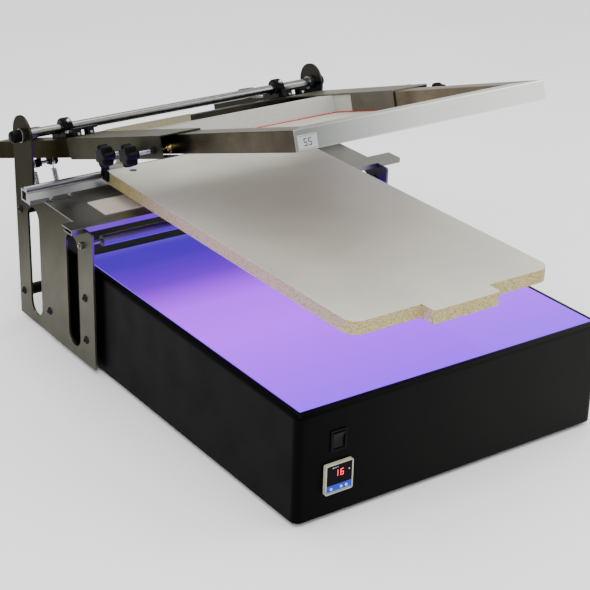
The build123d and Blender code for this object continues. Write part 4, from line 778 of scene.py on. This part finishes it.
class PRESS_OT_timer(Operator):
    """Dress the timer and write its reading in lit bars."""

    bl_idname = "press.timer"
    bl_label = "Timer"

    def execute(self, context):
        softened("timer_body", "base", ("timer_case",), 0.0005)
        front = (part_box("timer_window")[0].y - ORIGIN.y) / MM
        softened("timer_window", "base", ("window_dark", "strip_blue"), 0.0003,
                 lambda centre, normal: centre.z < KEY_STRIP_TOP)
        for i in (1, 2, 3):
            dress(f"timer_key_{i}", "key_pale")
        bm = bmesh.new()
        for place, digit in enumerate(divmod(context.scene.press_glow.digits, 10)):
            self.digit(bm, digit, -219.5 + place * 9.6, 75.0, front)
        finish_bmesh("timer_digits", bm, "base", ("digit_red",))
        bm = bmesh.new()
        for x0, x1, z0, z1 in ((-226.6, -223.6, 84.0, 85.2), (-222.4, -220.2, 84.3, 85.2),
                               (-218.8, -216.6, 84.3, 85.2), (-198.2, -196.4, 75.0, 77.2),
                               (-235.0, -194.0, 46.2, 46.8)):
            box_into(bm, (x0, front - 0.1, z0), (x1, front, z1))
        finish_bmesh("timer_marks", bm, "base", ("key_pale",))
        return {"FINISHED"}

    def digit(self, bm, digit, x, z, front):
        """Seven thin bars; the lit ones are drawn."""
        w, h, t = 5.6, 10.6, 1.3
        gap, raised = 0.15, 0.12
        left, right, low, high = x - w / 2, x + w / 2, z - h / 2, z + h / 2
        bars = {"a": (left, high - t, right, high), "g": (left, z - t / 2, right, z + t / 2),
                "d": (left, low, right, low + t), "f": (left, z, left + t, high),
                "b": (right - t, z, right, high), "e": (left, low, left + t, z),
                "c": (right - t, low, right, z)}
        for bar in DIGIT_BARS[digit]:
            x0, z0, x1, z1 = bars[bar]
            box_into(bm, (x0 + gap, front - raised, z0 + gap), (x1 - gap, front, z1 - gap))


class PRESS_OT_switch(Operator):
    """Dress the rocker switch."""

    bl_idname = "press.switch"
    bl_label = "Switch"

    def execute(self, context):
        soften_each("base", ("switch_frame", "black_moulding", 0.0005))
        soften_each("switch_rocker", ("switch_rocker", "black_bar"))
        return {"FINISHED"}


class PRESS_OT_stand(Operator):
    """Side plates, tie bars, front tube, shaft and their fasteners."""

    bl_idname = "press.stand"
    bl_label = "Stand"

    def execute(self, context):
        soften_each(
            "base", ("side_plate_left", "plate_steel", 0.0005), ("side_plate_right", "plate_steel", 0.0005),
            ("tie_bars", "black_bar", 0.0005), ("front_tie_tube", "tube_satin", 0.0005),
            ("plate_spacers", "bolt_zinc"), ("shaft_collars", "collar_dull", 0.0005),
            ("front_tie_stud", "collar_dull", 0.0003), ("shaft_caps", "black_moulding", 0.0006),
            ("pivot_shaft", "ground_shaft", 0.0006))
        self.bolts()
        return {"FINISHED"}

    def bolts(self):
        """Button screws outside the plates."""
        points = []
        facing = []
        for side in (-1, 1):
            for y, z in ((217, 53), (217, 129), (348, 53), (445, 54), (445, 207)):
                points.append(fixed(side * 297, y, z))
                facing.append((side, 0, 0))
        carrier = points_mesh("plate_bolt_points", points, facing)
        mesh = grown(button_tree(), carrier, {"Shank length": 0.024})
        round_shading(mesh)
        obj = piece("plate_bolts_dressed", mesh, "base", node="plate_bolts")


class PRESS_OT_platen(Operator):
    """Shelf, rail, board and the parts behind it."""

    bl_idname = "press.platen"
    bl_label = "Platen"

    def execute(self, context):
        soften_each(
            "base", ("platen_shelf", "shelf_steel"), ("rail", "rail_anodised", 0.0005),
            ("platen_spacers", "spacer_cream", 0.0006), ("platen_board", "chipboard", 0.0005),
            ("platen_laminate", "platen_cream", 0.0002), ("platen_screws", "bolt_zinc", 0.0003),
            ("platen_brackets", "bolt_zinc"), ("platen_stops", "black_bar", 0.0008))
        return {"FINISHED"}


class PRESS_OT_screen(Operator):
    """Frame, woven mesh, glue, tape and label."""

    bl_idname = "press.screen"
    bl_label = "Screen"

    def execute(self, context):
        settings = context.scene.press_screen
        soften_each("screen_carrier", ("screen_frame", "frame_bars", 0.0012))
        self.welds()
        self.cloth(settings.cloth_thickness / MM)
        soften_each("screen_carrier", ("mesh_glue_bead", "glue_red", 0.0005),
                    ("frame_tape", "tape_white", 0.0001))
        dress("mesh_count_label", "label_paper")
        self.number(settings.label_number)
        return {"FINISHED"}

    def welds(self):
        """Ground weld lines at the four mitred corners, above and below."""
        bm = bmesh.new()
        for side in (-1, 1):
            for end, inward in zip(FRAME_ENDS, (1, -1)):
                for n, up in zip(FRAME_FACES, (0.12, -0.12)):
                    outer = Vector((side * 223.5, end + inward * 2.0, 0))
                    inner = Vector((side * 187.0, end + inward * 38.5, 0))
                    across = Vector((inward, side, 0)).normalized() * 0.8
                    ring = []
                    for level, share in ((n, 1.0), (n + up, 0.3)):
                        for point, way in ((outer, -1), (outer, 1), (inner, 1), (inner, -1)):
                            place = point + across * (way * share)
                            ring.append(bm.verts.new(swung(place.x, place.y, level)))
                    for quad in BOX_SIDES:
                        bm.faces.new([ring[i] for i in quad])
        bmesh.ops.recalc_face_normals(bm, faces=bm.faces)
        finish_bmesh("frame_welds", bm, "screen_carrier", ("frame_bars",), angle=60)

    def cloth(self, thick):
        """Mesh stretched across the frame's lower side, with its own UV map in metres."""
        wide, long = 439.0, 518.0
        nx, ny = 44, 52
        bm = bmesh.new()
        uv = bm.loops.layers.uv.new("weave")
        bottom, top = [[[
            bm.verts.new(swung(-wide / 2 + wide * i / nx, CLOTH_FRONT + long * j / ny, n))
            for i in range(nx + 1)] for j in range(ny + 1)] for n in (CLOTH_UNDER, CLOTH_UNDER + thick)]
        for j in range(ny):
            for i in range(nx):
                for grid, order in ((bottom, ((0, 0), (0, 1), (1, 1), (1, 0))),
                                    (top, ((0, 0), (1, 0), (1, 1), (0, 1)))):
                    face = bm.faces.new([grid[j + b][i + a] for a, b in order])
                    for loop, (a, b) in zip(face.loops, order):
                        loop[uv].uv = ((i + a) * wide / nx * MM, (j + b) * long / ny * MM)
        for i in range(nx):
            bm.faces.new([bottom[0][i], bottom[0][i + 1], top[0][i + 1], top[0][i]])
            bm.faces.new([bottom[ny][i + 1], bottom[ny][i], top[ny][i], top[ny][i + 1]])
        for j in range(ny):
            bm.faces.new([bottom[j + 1][0], bottom[j][0], top[j][0], top[j + 1][0]])
            bm.faces.new([bottom[j][nx], bottom[j + 1][nx], top[j + 1][nx], top[j][nx]])
        obj = finish_bmesh("screen_cloth", bm, "screen_carrier", ("woven_mesh",), "screen_mesh")

    def number(self, value):
        """Number printed on the label, in plain bars, between two lines."""
        bm = bmesh.new()
        ink, half = 0.08, 0.6
        step_x, step_n = 1.9, 2.3
        bars = {"a": (-1, 2, 1, 2), "g": (-1, 0, 1, 0), "d": (-1, -2, 1, -2),
                "f": (-1, 0, -1, 2), "b": (1, 0, 1, 2), "e": (-1, -2, -1, 0), "c": (1, -2, 1, 0)}
        for place, digit in enumerate(divmod(value, 10)):
            cx, cn = -208.2 + place * 7.4, -34.5
            for key in DIGIT_BARS[digit]:
                x0, n0, x1, n1 = bars[key]
                box_into(bm, (cx + x0 * step_x - half, LABEL_FACE - ink, cn + n0 * step_n - half),
                         (cx + x1 * step_x + half, LABEL_FACE, cn + n1 * step_n + half), swung)
        for n0, n1 in ((-43.6, -43.2), (-25.8, -25.4)):
            box_into(bm, (-218.5, LABEL_FACE - ink, n0), (-190.5, LABEL_FACE, n1), swung)
        finish_bmesh("label_number", bm, "screen_carrier", ("print_black",))


class PRESS_OT_arms(Operator):
    """Arms, channels, pivot blocks and what is fixed to them."""

    bl_idname = "press.arms"
    bl_label = "Arms"

    def execute(self, context):
        soften_each(
            "screen_carrier", ("swing_arms", "arm_steel", 0.0006), ("clamp_channels", "channel_steel"),
            ("arm_crossbar", "arm_steel", 0.0008), ("crossbar_facing", "facing_cream", 0.0005),
            ("arm_caps", "black_moulding"), ("arm_screws", "bolt_zinc", 0.0003))
        rivet_line, plug_radius, pin_radius = -0.04705, 0.0112, 0.0058
        softened("shaft_guards", "screen_carrier", ("black_bar", "bolt_zinc"), 0.0005,
                 lambda centre, normal: (centre - SHAFT).dot(ALONG) < rivet_line)
        softened("pivot_blocks", "screen_carrier", ("black_moulding", "black_bar"), 0.0006,
                 lambda centre, normal: (centre.yz - SHAFT.yz).length < plug_radius)
        softened("spring_pins", "screen_carrier", ("black_moulding", "bolt_zinc"), None,
                 lambda centre, normal: (centre.yz - SPRING_PIN.yz).length <= pin_radius)
        for name in ("tail_knob_left", "tail_knob_right"):
            soften_each(name, (name, "black_moulding", 0.0006))
        return {"FINISHED"}


class PRESS_OT_clamps(Operator):
    """Star knobs with threaded studs, and the pads they drive."""

    bl_idname = "press.clamps"
    bl_label = "Clamps"

    # Grip as (distance from the middle, inset of its rim), hub and stud as (radius, distance)
    grip = ((289.0, 5.0), (288.2, 2.4), (289.4, 0.7), (291.5, 0.0), (298.0, 0.0), (302.5, 0.5), (305.2, 2.2),
            (306.0, 4.6), (306.0, 8.0))
    hub = ((0, 282), (8.0, 282), (9.0, 283), (9.0, 289.5), (0, 289.5))
    stud = ((0, 230.1), (2.2, 230.1), (2.2, 234.5), (2.5, 234.5), (2.8, 235.4), (2.8, 282.5), (0, 282.5))

    def execute(self, context):
        sizes = context.scene.press_knob
        tree = thread_tree()
        for side, word in ((-1, "left"), (1, "right")):
            for number, s in enumerate(CLAMP_PLACES, 1):
                name = f"clamp_knob_{word}_{number}"
                self.knob(name, side, s, sizes)
                carrier = points_mesh(name + "_start", [swung(side * 261.0, s, CLAMP_LEVEL)], [(side, 0, 0)])
                mesh = grown(tree, carrier, {
                    "Pitch": sizes.pitch, "Radius": 0.0028, "Length": 0.020, "Rib": 0.0003})
                obj = piece(name + "_thread", mesh, name)
                pad = f"clamp_pad_{word}_{number}"
                soften_each(pad, (pad, "brass_pad"))
        return {"FINISHED"}

    def knob(self, name, side, s, sizes):
        """Lobed grip with rounded rims, its hub and the bright stud."""
        axis = Vector((side, 0, 0))
        origin = swung(0, s, CLAMP_LEVEL)
        steps = sizes.lobes * 16
        start, depth, fullness = math.radians(12), 4.2, 0.62
        valleys = []
        for i in range(steps):
            wave = 0.5 + 0.5 * math.cos(sizes.lobes * (2 * math.pi * i / steps - start))
            valleys.append(depth * (1 - wave ** fullness))
        bm = bmesh.new()
        rings = [ring_into(bm, origin + axis * (x * MM), Vector((0, 1, 0)), Vector((0, 0, 1)),
                           [sizes.radius / MM - inset - valley for valley in valleys])
                 for x, inset in self.grip]
        skin(bm, rings)
        bm.faces.new(rings[0])
        bm.faces.new(rings[-1])
        bmesh.ops.recalc_face_normals(bm, faces=bm.faces)
        lathe_into(bm, self.hub, origin, axis, 36, 0)
        lathe_into(bm, self.stud, origin, axis, 28, 1)
        finish_bmesh(name + "_dressed", bm, name, ("black_moulding", "bolt_zinc"), name, 40)


class PRESS_OT_springs(Operator):
    """Four lifting springs, each one wire from hook to hook."""

    bl_idname = "press.springs"
    bl_label = "Springs"

    def execute(self, context):
        metal = context.scene.press_metal
        low = Vector((0, 445, 207))
        high = (SPRING_PIN - ORIGIN) / MM
        along = (high - low).normalized()
        across = Vector((1, 0, 0))
        side = along.cross(across)
        lower_hook, upper_hook = 11.3, 4.3
        radius, pitch, neck = 4.0, 2.6, 9
        steps = 24
        wound = metal.turns * pitch
        start = low + along * ((high - low).length - wound - upper_hook - neck)
        points = []
        for i in range(steps + 1):
            turn = math.radians(200 - 230 * i / steps)
            points.append(low + side * (lower_hook * math.cos(turn)) - along * (lower_hook * math.sin(turn)))
        lead = along * math.cos(math.radians(30)) - side * math.sin(math.radians(30))
        points += self.bridge(points[-1], lead, start + side * radius, across)
        for i in range(metal.turns * steps + 1):
            turn = 2 * math.pi * i / steps
            swing = side * math.cos(turn) + across * math.sin(turn)
            points.append(start + along * (pitch * i / steps) + swing * radius)
        points += self.bridge(points[-1], across, high + side * upper_hook, along)
        for i in range(steps + 1):
            turn = math.radians(200 * i / steps)
            points.append(high + side * (upper_hook * math.cos(turn)) + along * (upper_hook * math.sin(turn)))
        mesh = bpy.data.meshes.new("spring_route")
        edges = [(i, i + 1) for i in range(len(points) - 1)]
        mesh.from_pydata([tuple(fixed(*p)) for p in points], edges, [])
        grown_mesh = grown(wire_tree(), mesh, {"Wire radius": metal.wire / 2})
        round_shading(grown_mesh, 60)
        obj = bpy.data.objects.new("lift_springs_wound", grown_mesh)
        context.scene.collection.objects.link(obj)
        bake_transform(obj)
        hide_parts("lift_springs")
        return {"FINISHED"}

    def bridge(self, a, a_dir, b, b_dir):
        """Points of a smooth run between two ends, without the ends."""
        count = 8
        reach = (b - a).length
        run = []
        for i in range(1, count):
            t = i / count
            h00 = 2 * t ** 3 - 3 * t ** 2 + 1
            h10 = t ** 3 - 2 * t ** 2 + t
            h01 = -2 * t ** 3 + 3 * t ** 2
            h11 = t ** 3 - t ** 2
            run.append(a * h00 + a_dir * (reach * h10) + b * h01 + b_dir * (reach * h11))
        return run


class PRESS_OT_stage(Operator):
    """Pale floor, soft lights and the camera."""

    bl_idname = "press.stage"
    bl_label = "Stage"

    def execute(self, context):
        scene = context.scene
        self.floor(scene)
        world = bpy.data.worlds.new("soft_room")
        world.use_nodes = True
        back = world.node_tree.nodes["Background"]
        back.inputs["Color"].default_value = (1.0, 1.0, 1.0, 1)
        back.inputs["Strength"].default_value = 1.15
        scene.world = world
        for name, place, target, size, power in (
                ("key_light", (-1.6, -1.8, 2.6), (0, 0, 0.2), 1.6, 60),
                ("fill_light", (2.4, -1.2, 2.0), (0, 0, 0.2), 1.8, 34),
                ("top_light", (0.2, 0.6, 3.0), (0, 0.1, 0.2), 2.2, 52)):
            turn = (Vector(target) - Vector(place)).to_track_quat("-Z", "Y").to_euler()
            self.lamp(scene, name, ORIGIN + Vector(place), turn, size=size, energy=power)
        self.glow(scene)
        self.camera(scene)
        return {"FINISHED"}

    def floor(self, scene):
        """Wide pale floor under the feet."""
        look = Finish("pale_floor", (0.95, 0.95, 0.95), 0.6)
        look.tint(look.noise(0.4, 3.0), 0.98, 1.02)
        bm = bmesh.new()
        bm.faces.new([bm.verts.new((x, y, 0)) for x, y in ((-9, -9), (9, -9), (9, 9), (-9, 9))])
        mesh = bpy.data.meshes.new("pale_floor")
        bm.to_mesh(mesh)
        bm.free()
        mesh.materials.append(Finish.made["pale_floor"])
        floor = bpy.data.objects.new("pale_floor", mesh)
        scene.collection.objects.link(floor)

    def lamp(self, scene, name, place, turn, **values):
        """Area light at a place, with its properties set."""
        light = bpy.data.lights.new(name, "AREA")
        for key, value in values.items():
            setattr(light, key, value)
        lamp = bpy.data.objects.new(name, light)
        lamp.location = place
        lamp.rotation_euler = turn
        scene.collection.objects.link(lamp)
        return lamp

    def glow(self, scene):
        """Violet light that rises from the glass."""
        low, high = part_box("glass_top")
        place = ((low.x + high.x) / 2, (low.y + high.y) / 2, high.z + 2 * MM)
        lamp = self.lamp(
            scene, "glass_glow", place, (math.pi, 0, 0), shape="RECTANGLE", size=high.x - low.x,
            size_y=high.y - low.y, color=(0.16, 0.03, 1.0), energy=scene.press_glow.fill)
        lamp.visible_camera = False

    def camera(self, scene):
        """Camera at the photograph's viewing angle, 24.8 degrees down, slightly rolled."""
        azimuth, elevation, roll = math.radians(35.4), math.radians(24.8), math.radians(1.6)
        place = Vector((-1.4165, -1.9474, 1.2600))
        forward = Vector((math.sin(azimuth) * math.cos(elevation), math.cos(azimuth) * math.cos(elevation),
                          -math.sin(elevation)))
        level = Vector((math.cos(azimuth), -math.sin(azimuth), 0))
        upright = level.cross(forward)
        right = level * math.cos(roll) + upright * math.sin(roll)
        up = right.cross(forward)
        data = bpy.data.cameras.new("press_camera")
        data.lens = 99.9
        data.sensor_width = 36.0
        data.clip_end = 50
        camera = bpy.data.objects.new("press_camera", data)
        turned = Matrix((right, up, -forward)).transposed().to_4x4()
        camera.matrix_world = Matrix.Translation(ORIGIN + place) @ turned
        scene.collection.objects.link(camera)
        scene.camera = camera


STEPS = (PRESS_OT_finishes, PRESS_OT_casing, PRESS_OT_timer, PRESS_OT_switch, PRESS_OT_stand, PRESS_OT_platen,
         PRESS_OT_screen, PRESS_OT_arms, PRESS_OT_clamps, PRESS_OT_springs, PRESS_OT_stage)


class PRESS_PT_panel(Panel):
    """Settings and steps of the press."""

    bl_label = "Screen Printing Press"
    bl_idname = "PRESS_PT_panel"
    bl_space_type = "VIEW_3D"
    bl_region_type = "UI"
    bl_category = "Press"

    def draw(self, context):
        layout = self.layout
        for name, settings in SETTINGS:
            column = layout.column(align=True)
            for key in settings.__annotations__:
                column.prop(getattr(context.scene, name), key)
        for step in STEPS:
            layout.operator(step.bl_idname)


SETTINGS = (("press_screen", PressScreenSettings), ("press_glow", PressGlowSettings),
            ("press_metal", PressMetalSettings), ("press_knob", PressKnobSettings))


def register():
    """Register the settings, the operators and the panel."""
    for name, group in SETTINGS:
        bpy.utils.register_class(group)
        setattr(bpy.types.Scene, name, PointerProperty(type=group))
    for step in STEPS:
        bpy.utils.register_class(step)
    bpy.utils.register_class(PRESS_PT_panel)


def unregister():
    """Take everything out again."""
    bpy.utils.unregister_class(PRESS_PT_panel)
    for step in reversed(STEPS):
        bpy.utils.unregister_class(step)
    for name, group in reversed(SETTINGS):
        delattr(bpy.types.Scene, name)
        bpy.utils.unregister_class(group)


def main():
    """Dress the press."""
    register()
    for step in STEPS:
        group, name = step.bl_idname.split(".")
        getattr(getattr(bpy.ops, group), name)()


if __name__ == "__main__":
    main()
